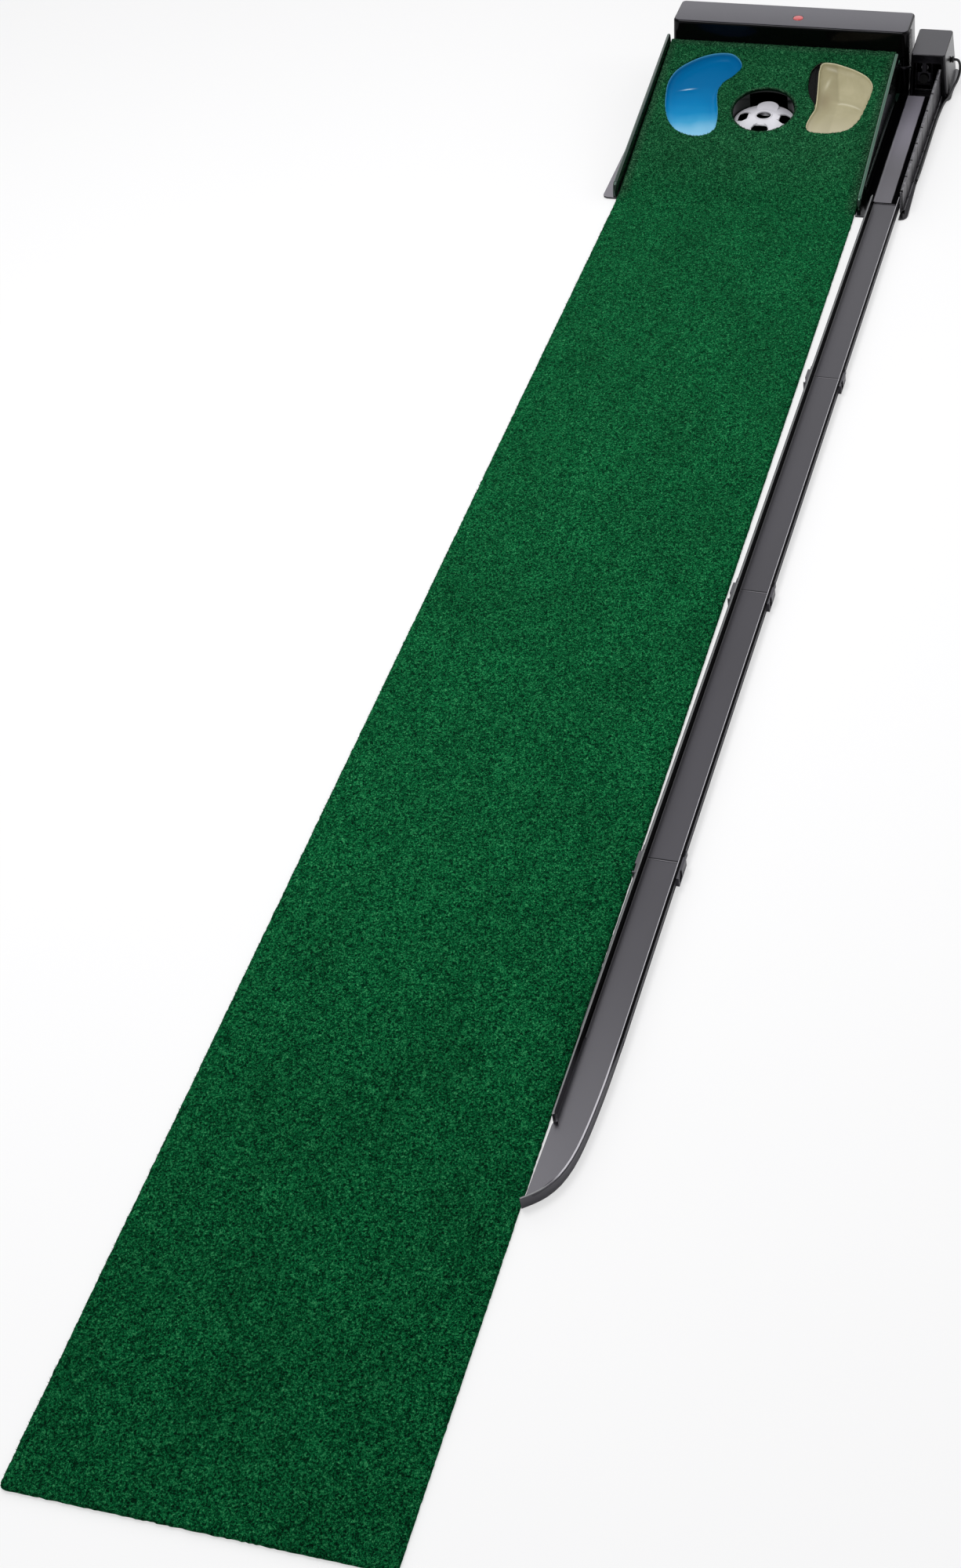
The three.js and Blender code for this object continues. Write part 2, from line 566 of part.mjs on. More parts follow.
// -------------------------------------------------------------------- kicker
function kickerHousing() {
  const outer = loft([
    atHeight(roundedRect(228.5, 297.5, 401, 503, 4, 2), SEAT_Z),
    atHeight(roundedRect(231, 291, 402.6, 497, 4, 2), KICKER_TOP - 1.5),
    atHeight(roundedRect(232.2, 289.8, 403.8, 495.8, 3.4, 2), KICKER_TOP),
  ]);
  const inner = loft([
    atHeight(roundedRect(231, 295.2, 403.5, 500.5, 2, 2), -2),
    atHeight(roundedRect(233.5, 288.5, 405, 494.6, 2, 2), KICKER_TOP - 2.5),
  ]);
  let box = outer.subtract(inner);
  // opening in the front, then the cord hole in the right side
  box = box.subtract(prismY([[233.6, 0], [286, 0], [284, 66], [235.5, 66]], 395, 408));
  box = box.subtract(barX(3.9, 290, 306, CORD_Y, CORD_Z, 12));
  // screw bosses, trimmed flat behind
  for (const [x, y] of KICKER_SCREWS) {
    const boss = barZ(4, x, y, SEAT_Z, 26, 12);
    box = box.add(boss.subtract(block(x - 9, x + 9, 500.9, 510, 0, 40)));
    box = box.subtract(barZ(SCREW_PILOT_R, x, y, -1, 20, 12));
  }
  return box;
}

const pivotBore = (x0, x1) => barX(PIVOT_BORE_R, x0, x1, PIVOT_Y, PIVOT_Z);

// frame that carries the arm and the solenoid
function kickerFrame() {
  let frame = block(235.5, 266.5, 421, 490, SEAT_Z, 6.3);
  for (const x of [235.5, 264.2]) {
    frame = frame.add(prismX([[421.5, 5], [441, 5], [437, 73], [424, 73]], x, x + 2.3));
    frame = frame.subtract(pivotBore(x - 1, x + 4));
  }
  return frame;
}

// hanging arm with a paddle at its foot and a hub at its pivot
function kickerArm() {
  const side = [[426.6, 20], [433.4, 20], [433.4, 70], [431.6, 73], [428.4, 73], [426.6, 70]];
  return prismX(side, KICK_X - 4, KICK_X + 4)
    .add(block(KICK_X - 12, KICK_X + 12, 426.2, 431.4, 12, 36))
    .add(barX(5.4, KICK_X - 11.5, KICK_X + 11.5, PIVOT_Y, PIVOT_Z))
    .subtract(pivotBore(KICK_X - 20, KICK_X + 20));
}

// block on two legs, bored for the plunger
function solenoidBody() {
  const [x0, x1] = [KICK_X - 13, KICK_X + 13];
  return block(x0, x1, 452, 484, 28, 54)
    .add(block(x0, x1, 452, 454, 6.6, 30))
    .add(block(x0, x1, 482, 484, 6.6, 30))
    .subtract(barY(4.08, KICK_X, 440, 500, SOLENOID_Z));
}
function solenoidPlunger() {
  return barY(4, KICK_X, 434.4, 478, SOLENOID_Z).add(barY(6.5, KICK_X, 434, 437, SOLENOID_Z));
}

// control board on two posts inside the hood
function controlBoard() {
  return block(110, 180, 440, 474, 12, 13.6)
    .add(block(120, 138, 446, 462, 13.4, 24))
    .add(barZ(5, 160, 455, 13.4, 27, 12))
    .add(barZ(2.5, 114, 444, SEAT_Z, 12.4, 10))
    .add(barZ(2.5, 176, 470, SEAT_Z, 12.4, 10));
}

// leaves the side of the kicker housing and runs forward along the foot: x, y, z
const CORD_PATH = [
  [290.6, CORD_Y, CORD_Z], [295, CORD_Y, CORD_Z], [299.5, CORD_Y, CORD_Z], [305, 464.5, 42.8],
  [308.6, 467, 34], [309, 465, 20], [306.4, 456, 9.5], [303.2, 440, 6.1], [301.4, 415, 6],
  [299.4, 398, 6], [294.6, 380, 6], [291.6, 345, 6], [290.2, 300, 6], [289.6, 220, 6],
  [289, 150, 6], [288, 118, 6],
];
function cordGrommet() {
  return barX(3.6, 291.2, 298.4, CORD_Y, CORD_Z, 12)
    .add(barX(5.6, 295, 297.8, CORD_Y, CORD_Z, 14))
    .subtract(barX(2.95, 280, 310, CORD_Y, CORD_Z, 12));
}

// ------------------------------------------------------------- return track
// inner and outer faces of the left and right walls
const INNER_LEFT = TRACK_X - TRACK_IN / 2;
const INNER_RIGHT = TRACK_X + TRACK_IN / 2;
const OUTER_LEFT = INNER_LEFT - TRACK_WALL;
const OUTER_RIGHT = INNER_RIGHT + TRACK_WALL;

// channel section as x, z: floor, coved corners, walls and the outer ledges
const CHANNEL = [
  [OUTER_LEFT, 0], [OUTER_RIGHT, 0], [OUTER_RIGHT, LEDGE_BOTTOM],
  [OUTER_RIGHT + TRACK_LEDGE, LEDGE_BOTTOM], [OUTER_RIGHT + TRACK_LEDGE, LEDGE_TOP],
  [OUTER_RIGHT, LEDGE_TOP], [OUTER_RIGHT, TRACK_TOP], [INNER_RIGHT, TRACK_TOP],
  [INNER_RIGHT, 5.8], [INNER_RIGHT - 1, 3.6], [INNER_RIGHT - 3.2, TRACK_FLOOR],
  [INNER_LEFT + 3.2, TRACK_FLOOR], [INNER_LEFT + 1, 3.6], [INNER_LEFT, 5.8],
  [INNER_LEFT, TRACK_TOP], [OUTER_LEFT, TRACK_TOP], [OUTER_LEFT, LEDGE_TOP],
  [OUTER_LEFT - TRACK_LEDGE, LEDGE_TOP], [OUTER_LEFT - TRACK_LEDGE, LEDGE_BOTTOM],
  [OUTER_LEFT, LEDGE_BOTTOM],
];

// block beside a wall, near and far measured outwards from the wall's outer face
function sideBlock(side, near, far, ...yz) {
  return side < 0
    ? block(OUTER_LEFT - far, OUTER_LEFT - near, ...yz)
    : block(OUTER_RIGHT + near, OUTER_RIGHT + far, ...yz);
}
// sockets at the target end of a section
function withSockets(section, y) {
  for (const side of [-1, 1]) {
    const lug = sideBlock(side, -0.4, 5.2, y - 36, y - 1.5, 3, 17.4)
      .subtract(sideBlock(side, 0, 4.2, y - 33.5, y + 1, 5, 14.6))
      // window in the outer side
      .subtract(sideBlock(side, 3.2, 6.2, y - 34, y - 22, 6, 20));
    section = section.add(lug);
  }
  return section;
}
// spring tongues at the golfer's end, each on a root joined to the wall
function withTongues(section, y) {
  for (const side of [-1, 1]) {
    section = section.add(sideBlock(side, -0.4, 3.2, y + 0.4, y + 12, 5.8, 13.8));
    section = section.add(sideBlock(side, 0.5, 3.2, y - 30, y + 6, 5.8, 13.8));
  }
  return section;
}

function trackSection(index) {
  const rear = FIRST_SEAM - index * SECTION_PITCH;
  const front = rear - SECTION_PITCH;
  const section = prismY(CHANNEL, front + SEAM_INSET, rear - SEAM_INSET);
  return withTongues(index > 0 ? withSockets(section, rear) : section, front);
}

// last section: its right-hand wall curves round towards the mat
function trackEndSection() {
  const rear = FIRST_SEAM - SECTION_COUNT * SECTION_PITCH;
  const outer = spline([
    [OUTER_RIGHT, STRAIGHT_END], [271.2, -1760], [269.4, -1803], [266.8, -1838], [262.6, -1866],
    [255.2, -1889], [245, -1905.5], [233.6, -1916.6], [222.4, -1925],
  ], false).getPoints(16).map((p) => [p.x, p.y]);
  const beside = (i, distance) => offset(
    outer[i], outer[Math.max(0, i - 1)], outer[Math.min(outer.length - 1, i + 1)], distance);
  const inner = outer.map((_, i) => beside(i, TRACK_WALL));
  // the ledge tapers away round the bend
  const ledgeCount = 15;
  const ledgeRoot = outer.slice(0, ledgeCount);
  const ledgeEdge = ledgeRoot.map((_, i) => beside(i, -TRACK_LEDGE * (1 - i / ledgeCount)));
  const floor = [
    [OUTER_LEFT + 0.3, STRAIGHT_END], [OUTER_LEFT + 0.3, -1816], [224, -1818], [222.4, -1921],
    ...outer.toReversed(),
  ];
  // the mat-side wall stops short, its foot flared inwards
  const wallFoot = [
    [OUTER_LEFT, STRAIGHT_END], [INNER_LEFT, STRAIGHT_END], [INNER_LEFT, -1806],
    [INNER_LEFT + 1.2, -1812], [INNER_LEFT + 4.2, -1817], [INNER_LEFT + 1.6, -1818.6],
    [OUTER_LEFT, -1816],
  ];
  const wall = [
    [OUTER_LEFT, STRAIGHT_END], [INNER_LEFT, STRAIGHT_END], [INNER_LEFT, -1812],
    [INNER_LEFT + 1, -1815], [OUTER_LEFT + 0.6, -1817], [OUTER_LEFT, -1815],
  ];
  const ledge = [...ledgeEdge, ...ledgeRoot.map(([x, y]) => [x - 0.6, y]).reverse()];
  const section = prismY(CHANNEL, STRAIGHT_END - 0.5, rear - SEAM_INSET)
    .add(prismZ(floor, 0, TRACK_FLOOR))
    .add(prismZ([...outer, ...inner.reverse()], 0, TRACK_TOP))
    .add(prismZ(ledge, LEDGE_BOTTOM, LEDGE_TOP))
    .add(prismZ(wallFoot, 0, 8).add(prismZ(wall, 0, TRACK_TOP)));
  // trimmed clear of the mat's edge
  return withSockets(section, rear).subtract(block(190, 222.2, -1940, -1890, -1, 40));
}

// ------------------------------------------------------------------ assembly
const GLOSS = 0x0b0b0d;
const DARK = 0x17171a;
const PIN_STEEL = { color: 0xb8bcc2, roughness: 0.3, metalness: 0.9 };
const SCREW_STEEL = { color: 0x8d9096, roughness: 0.35, metalness: 0.9 };
const TRACK_SATIN = { color: 0x4a494f, roughness: 0.4 };

const group = new THREE.Group();
group.name = 'practice_putting_mat';
function add(name, solid, finish) {
  group.add(meshOf(name, solid.translate([0, -CUP_Y, 0]), finish));
}

add('turf_mat', turfMat(), { color: 0x14552f, roughness: 0.95 });
add('base_plate', basePlate(), { color: GLOSS, roughness: 0.25 });
add('ramp_deck', rampDeck(), { color: DARK, roughness: 0.35 });
add('side_rail_left', leftRail(), { color: GLOSS, roughness: 0.22 });
add('side_rail_right', rightRail(), { color: GLOSS, roughness: 0.22 });
add('backstop_hood', backstopHood(), { color: GLOSS, roughness: 0.18 });
add('power_lamp', powerLamp(), { color: 0xc03030, roughness: 0.3 });
add('ball_gutter', ballGutter(), { color: DARK, roughness: 0.4 });
add('chute_floor', chuteFloor(), { color: 0x5c5b61, roughness: 0.42 });
add('chute_wall', chuteWall(), { color: GLOSS, roughness: 0.25 });
add('ball_exit_guide', ballExitGuide(), { color: GLOSS, roughness: 0.3 });

add('cup_liner', cupLiner(), { color: GLOSS, roughness: 0.2 });
add('cup_base', cupBase(), { color: DARK, roughness: 0.4 });
add('cup_target_plate', cupTargetPlate(), { color: 0xeeeef2, roughness: 0.3 });
add('target_plate_pin', barX(HINGE_PIN_R, -20.8, 20.8, HINGE_Y, HINGE_Z), PIN_STEEL);
add('target_plate_spring', wire(0.45, 6, new SpringCurve(), 62),
  { color: 0xa9adb3, roughness: 0.35, metalness: 0.9 });
add('ball_sensor_switch', ballSensorSwitch(), { color: 0x1c1c20, roughness: 0.5 });
add('water_hazard_tray', hazardTray(WATER, 11, -4), { color: 0x0f78b4, roughness: 0.3 });
add('sand_hazard_tray', hazardTray(SAND_TRAY, 12, -3), { color: 0xbeb48c, roughness: 0.3 });

add('kicker_housing', kickerHousing(), { color: 0x232227, roughness: 0.4 });
add('kicker_frame', kickerFrame(), { color: 0x9a9da3, roughness: 0.35, metalness: 0.9 });
add('kicker_pivot_pin', barX(PIVOT_PIN_R, 234.6, 267.4, PIVOT_Y, PIVOT_Z), PIN_STEEL);
add('kicker_arm', kickerArm(), { color: 0x1a1a1d, roughness: 0.4 });
add('kicker_pad', barY(8.5, KICK_X, 421.6, 425.9, 25.2, 18), { color: 0x2a2a2a, roughness: 0.8 });
add('solenoid_body', solenoidBody(), { color: 0x8d5a2b, roughness: 0.45, metalness: 0.3 });
add('solenoid_plunger', solenoidPlunger(), PIN_STEEL);
add('control_board', controlBoard(), { color: 0x1f5a34, roughness: 0.5 });
add('power_cord', wire(2.3, 8, spline(CORD_PATH, false), 44), { color: 0x101012, roughness: 0.5 });
add('cord_grommet', cordGrommet(), { color: 0x0c0c0e, roughness: 0.7 });
SCREWS.forEach(([x, y], i) => {
  add(`base_screw_${i + 1}`, barZ(SCREW_R, x, y, 0.2, 14, 10), SCREW_STEEL);
});

const track = new THREE.Group();
track.position.set(0, -CUP_Y, 0);
track.rotation.z = TRACK_ANGLE;
group.add(track);
for (let i = 0; i < SECTION_COUNT; i++) {
  track.add(meshOf(`track_section_${i + 1}`, trackSection(i), TRACK_SATIN));
}
track.add(meshOf('track_end_section', trackEndSection(), TRACK_SATIN));

export default group;
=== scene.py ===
import json
import math

import bmesh
import bpy
import numpy as np
from mathutils import Matrix, Vector, geometry


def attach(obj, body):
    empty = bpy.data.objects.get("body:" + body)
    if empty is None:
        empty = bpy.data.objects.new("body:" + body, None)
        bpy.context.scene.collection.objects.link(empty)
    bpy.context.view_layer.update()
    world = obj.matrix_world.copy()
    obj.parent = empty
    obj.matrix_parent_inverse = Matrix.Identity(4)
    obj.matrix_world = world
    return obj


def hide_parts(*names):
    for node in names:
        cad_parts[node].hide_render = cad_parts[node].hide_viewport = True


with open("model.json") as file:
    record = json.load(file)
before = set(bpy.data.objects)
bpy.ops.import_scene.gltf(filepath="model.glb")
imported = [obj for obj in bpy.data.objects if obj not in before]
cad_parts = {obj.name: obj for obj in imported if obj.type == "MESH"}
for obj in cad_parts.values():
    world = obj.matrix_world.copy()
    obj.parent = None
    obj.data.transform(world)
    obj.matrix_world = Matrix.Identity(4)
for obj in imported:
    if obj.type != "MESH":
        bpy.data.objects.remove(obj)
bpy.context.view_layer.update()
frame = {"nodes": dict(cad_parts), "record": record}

NODES = frame["nodes"]
rng = np.random.default_rng(11)

# --------------------------------------------------------------- dimensions
# Millimetres. Y is counted from the foot of the ramp, and the row frame's
# origin is under the cup centre, 241.3 mm behind it.
CUP_Y = 241.3
TH = math.radians(10.49)
T, COS, SIN = math.tan(TH), math.cos(TH), math.sin(TH)
HALF = 203.2
FRONT = -2324.7
REAR = 411.5
PILE = 4.0


def P(x, y, z):
    return (x / 1000.0, (y - CUP_Y) / 1000.0, z / 1000.0)


def S(x, s, n):
    return P(x, s * COS - n * SIN, s * SIN + n * COS)


# ------------------------------------------------------------------- meshes
def make(name, verts, faces, smooth=True):
    me = bpy.data.meshes.new(name)
    me.from_pydata([tuple(map(float, v)) for v in verts], [], [list(map(int, f)) for f in faces])
    me.validate(clean_customdata=False)
    me.update()
    ob = bpy.data.objects.new(name, me)
    bpy.context.scene.collection.objects.link(ob)
    if smooth:
        me.polygons.foreach_set("use_smooth", [True] * len(me.polygons))
    return ob


def outward(ob):
    bm = bmesh.new()
    bm.from_mesh(ob.data)
    bmesh.ops.recalc_face_normals(bm, faces=bm.faces)
    bm.to_mesh(ob.data)
    bm.free()
    return ob


def baked(ob):
    """The object with its modifiers applied."""
    bpy.context.view_layer.update()
    dg = bpy.context.evaluated_depsgraph_get()
    me = bpy.data.meshes.new_from_object(ob.evaluated_get(dg))
    old = ob.data
    ob.modifiers.clear()
    ob.data = me
    me.name = ob.name
    bpy.data.meshes.remove(old)
    return ob


def boolean(ob, other, op):
    m = ob.modifiers.new("cut", "BOOLEAN")
    m.operation = op
    m.solver = "EXACT"
    m.object = other
    baked(ob)
    bpy.data.objects.remove(other)
    return ob


def finish_edges(ob, width=0.4, segments=2, angle=32, weld=False, weighted=True):
    if weld:
        m = ob.modifiers.new("weld", "WELD")
        m.merge_threshold = 2e-6
        m = ob.modifiers.new("flats", "DECIMATE")
        m.decimate_type = "DISSOLVE"
        m.angle_limit = math.radians(0.4)
    if width:
        m = ob.modifiers.new("bevel", "BEVEL")
        m.width = width / 1000.0
        m.segments = segments
        m.limit_method = "ANGLE"
        m.angle_limit = math.radians(angle)
        m.use_clamp_overlap = False
        m.miter_outer = "MITER_ARC"
    if weighted:
        m = ob.modifiers.new("normals", "WEIGHTED_NORMAL")
        m.keep_sharp = True
        m.weight = 50
    return ob


def ring_skin(name, rings, cap_start=True, cap_end=True, closed_v=False):
    """Skin over closed rings that share a point count."""
    n = len(rings[0])
    verts = [p for r in rings for p in r]
    faces = []
    last = len(rings) if closed_v else len(rings) - 1
    for k in range(last):
        k2 = (k + 1) % len(rings)
        for i in range(n):
            j = (i + 1) % n
            faces.append((k * n + i, k * n + j, k2 * n + j, k2 * n + i))
    if not closed_v and cap_start:
        faces.append(tuple(reversed(range(n))))
    if not closed_v and cap_end:
        faces.append(tuple((len(rings) - 1) * n + i for i in range(n)))
    return outward(make(name, verts, faces))


def catmull(points, count, closed=True):
    """Centripetal Catmull-Rom through the points, resampled to equal steps."""
    pts = [np.array(p, float) for p in points]
    n = len(pts)
    out = []
    spans = n if closed else n - 1
    for i in range(spans):
        if closed:
            p0, p1, p2, p3 = pts[(i - 1) % n], pts[i], pts[(i + 1) % n], pts[(i + 2) % n]
        else:
            p1, p2 = pts[i], pts[i + 1]
            p0 = pts[i - 1] if i > 0 else p1 + (p1 - p2)
            p3 = pts[i + 2] if i + 2 < n else p2 + (p2 - p1)
        t0 = 0.0
        t1 = t0 + np.linalg.norm(p1 - p0) ** 0.5
        t2 = t1 + np.linalg.norm(p2 - p1) ** 0.5
        t3 = t2 + np.linalg.norm(p3 - p2) ** 0.5
        for k in range(24):
            t = t1 + (t2 - t1) * k / 24.0
            a1 = (t1 - t) / (t1 - t0) * p0 + (t - t0) / (t1 - t0) * p1
            a2 = (t2 - t) / (t2 - t1) * p1 + (t - t1) / (t2 - t1) * p2
            a3 = (t3 - t) / (t3 - t2) * p2 + (t - t2) / (t3 - t2) * p3
            b1 = (t2 - t) / (t2 - t0) * a1 + (t - t0) / (t2 - t0) * a2
            b2 = (t3 - t) / (t3 - t1) * a2 + (t - t1) / (t3 - t1) * a3
            out.append((t2 - t) / (t2 - t1) * b1 + (t - t1) / (t2 - t1) * b2)
    if not closed:
        out.append(pts[-1])
    out = np.array(out)
    loop = np.vstack([out, out[:1]]) if closed else out
    seg = np.linalg.norm(np.diff(loop, axis=0), axis=1)
    cum = np.concatenate([[0], np.cumsum(seg)])
    steps = np.linspace(0, cum[-1], count + 1)[:-1] if closed else np.linspace(0, cum[-1], count)
    return np.stack([np.interp(steps, cum, loop[:, k]) for k in range(loop.shape[1])], axis=1)


def signed_area(p):
    x, y = p[:, 0], p[:, 1]
    return 0.5 * np.sum(x * np.roll(y, -1) - np.roll(x, -1) * y)


def grow(p, d):
    a, b = np.roll(p, 1, 0), np.roll(p, -1, 0)
    t = b - a
    t /= np.linalg.norm(t, axis=1)[:, None]
    return p + np.stack([t[:, 1], -t[:, 0]], 1) * (d if np.isscalar(d) else np.asarray(d)[:, None])


def outline(points, count):
    p = catmull(points, count)
    return p if signed_area(p) > 0 else p[::-1].copy()


def inside(pts, poly):
    """Even-odd test of many points."""
    x, y = pts[:, 0], pts[:, 1]
    res = np.zeros(len(pts), bool)
    a, b = poly, np.roll(poly, -1, 0)
    for (x0, y0), (x1, y1) in zip(a, b):
        if y0 == y1:
            continue
        hit = ((y0 > y) != (y1 > y)) & (x < (x1 - x0) * (y - y0) / (y1 - y0) + x0)
        res ^= hit
    return res


def distance(pts, poly):
    """Distance of many points to a closed polyline."""
    best = np.full(len(pts), 1e9)
    a, b = poly, np.roll(poly, -1, 0)
    for p, q in zip(a, b):
        d = q - p
        t = np.clip(((pts - p) @ d) / (d @ d), 0, 1)
        best = np.minimum(best, np.linalg.norm(pts - p - t[:, None] * d, axis=1))
    return best


def rounded_rect(x0, x1, y0, y1, radii, seg=10):
    a, b, c, d = radii
    out = []
    for cx, cy, r, start in ((x0 + a, y0 + a, a, math.pi), (x1 - b, y0 + b, b, 1.5 * math.pi),
                             (x1 - c, y1 - c, c, 0.0), (x0 + d, y1 - d, d, 0.5 * math.pi)):
        for i in range(seg + 1):
            t = start + i / seg * math.pi / 2
            out.append((cx + r * math.cos(t), cy + r * math.sin(t)))
    return np.array(out)


# ---------------------------------------------------------------- materials
class Shader:
    """A node material with short helpers. Coordinates are metres in the row frame."""

    def __init__(self, name):
        self.m = bpy.data.materials.new(name)
        self.m.use_nodes = True
        self.t = self.m.node_tree
        self.t.nodes.clear()
        self.out = self.t.nodes.new("ShaderNodeOutputMaterial")
        self.b = self.t.nodes.new("ShaderNodeBsdfPrincipled")
        self.link(self.b.outputs[0], self.out.inputs[0])
        tc = self.t.nodes.new("ShaderNodeTexCoord")
        self.co = self.scale(tc.outputs["Object"], (1000, 1000, 1000))   # millimetres

    def link(self, a, b):
        self.t.links.new(a, b)

    def put(self, sock, v):
        if hasattr(v, "is_output"):
            self.link(v, sock)
        elif isinstance(v, (tuple, list)):
            sock.default_value = (*v, 1.0) if len(sock.default_value) == 4 and len(v) == 3 else v
        else:
            sock.default_value = v

    def scale(self, v, s):
        n = self.t.nodes.new("ShaderNodeVectorMath")
        n.operation = "MULTIPLY"
        self.put(n.inputs[0], v)
        n.inputs[1].default_value = s
        return n.outputs[0]

    def vmath(self, op, a, b):
        n = self.t.nodes.new("ShaderNodeVectorMath")
        n.operation = op
        self.put(n.inputs[0], a)
        self.put(n.inputs[1], b)
        return n.outputs["Value"] if op in ("LENGTH", "DISTANCE", "DOT_PRODUCT") else n.outputs[0]

    def math(self, op, a, b=0.0, c=0.0, clamp=False):
        n = self.t.nodes.new("ShaderNodeMath")
        n.operation = op
        n.use_clamp = clamp
        self.put(n.inputs[0], a)
        self.put(n.inputs[1], b)
        self.put(n.inputs[2], c)
        return n.outputs[0]

    def sep(self, v):
        n = self.t.nodes.new("ShaderNodeSeparateXYZ")
        self.put(n.inputs[0], v)
        return n.outputs

    def noise(self, v, scale, detail=2.0, rough=0.5, distort=0.0):
        n = self.t.nodes.new("ShaderNodeTexNoise")
        self.put(n.inputs["Vector"], v)
        n.inputs["Scale"].default_value = scale
        n.inputs["Detail"].default_value = detail
        n.inputs["Roughness"].default_value = rough
        n.inputs["Distortion"].default_value = distort
        return n.outputs["Fac"]

    def voronoi(self, v, scale, feature="F1", randomness=1.0):
        n = self.t.nodes.new("ShaderNodeTexVoronoi")
        n.feature = feature
        self.put(n.inputs["Vector"], v)
        n.inputs["Scale"].default_value = scale
        n.inputs["Randomness"].default_value = randomness
        return n

    def ramp(self, fac, stops, mode="LINEAR"):
        n = self.t.nodes.new("ShaderNodeValToRGB")
        n.color_ramp.interpolation = mode
        e = n.color_ramp.elements
        while len(e) < len(stops):
            e.new(0.5)
        for k, (p, c) in enumerate(stops):
            e[k].position = p
            e[k].color = (*c, 1.0) if isinstance(c, (tuple, list)) else (c, c, c, 1.0)
        self.put(n.inputs[0], fac)
        return n.outputs[0]

    def mix(self, fac, a, b, mode="MIX"):
        n = self.t.nodes.new("ShaderNodeMix")
        n.data_type = "RGBA"
        n.blend_type = mode
        n.clamp_factor = True
        self.put(n.inputs[0], fac)
        self.put(n.inputs[6], a)
        self.put(n.inputs[7], b)
        return n.outputs[2]

    def span(self, v, a, b, c, d):
        n = self.t.nodes.new("ShaderNodeMapRange")
        n.interpolation_type = "SMOOTHSTEP"
        for k, x in enumerate((v, a, b, c, d)):
            self.put(n.inputs[k], x)
        return n.outputs[0]

    def attribute(self, name):
        n = self.t.nodes.new("ShaderNodeAttribute")
        n.attribute_name = name
        return n.outputs["Fac"]

    def edge(self, radius, lo, hi):
        """1 on convex and concave edges, from a bevel-rounded normal."""
        bv = self.t.nodes.new("ShaderNodeBevel")
        bv.samples = 4
        bv.inputs[0].default_value = radius / 1000.0
        g = self.t.nodes.new("ShaderNodeNewGeometry")
        dot = self.vmath("DOT_PRODUCT", bv.outputs[0], g.outputs["Normal"])
        return self.span(dot, hi, lo, 0.0, 1.0)

    def bump(self, height, strength, dist_mm, normal=None):
        n = self.t.nodes.new("ShaderNodeBump")
        n.inputs["Strength"].default_value = strength
        n.inputs["Distance"].default_value = dist_mm / 1000.0
        self.put(n.inputs["Height"], height)
        if normal is not None:
            self.link(normal, n.inputs["Normal"])
        return n.outputs[0]

    def set(self, **kw):
        names = {"color": "Base Color", "rough": "Roughness", "metal": "Metallic", "normal": "Normal",
                 "spec": "Specular IOR Level", "tint": "Specular Tint", "coat": "Coat Weight", "coat_rough": "Coat Roughness",
                 "sheen": "Sheen Weight", "sheen_rough": "Sheen Roughness", "sheen_tint": "Sheen Tint", "ior": "IOR",
                 "sss": "Subsurface Weight", "sss_scale": "Subsurface Scale", "sss_radius": "Subsurface Radius",
                 "emit": "Emission Color", "emit_power": "Emission Strength", "aniso": "Anisotropic", "trans": "Transmission Weight"}
        for k, v in kw.items():
            self.put(self.b.inputs[names[k]], v)
        return self


def srgb(r, g, b):
    return tuple((v / 255 / 12.92) if v / 255 <= 0.04045 else ((v / 255 + 0.055) / 1.055) ** 2.4 for v in (r, g, b))


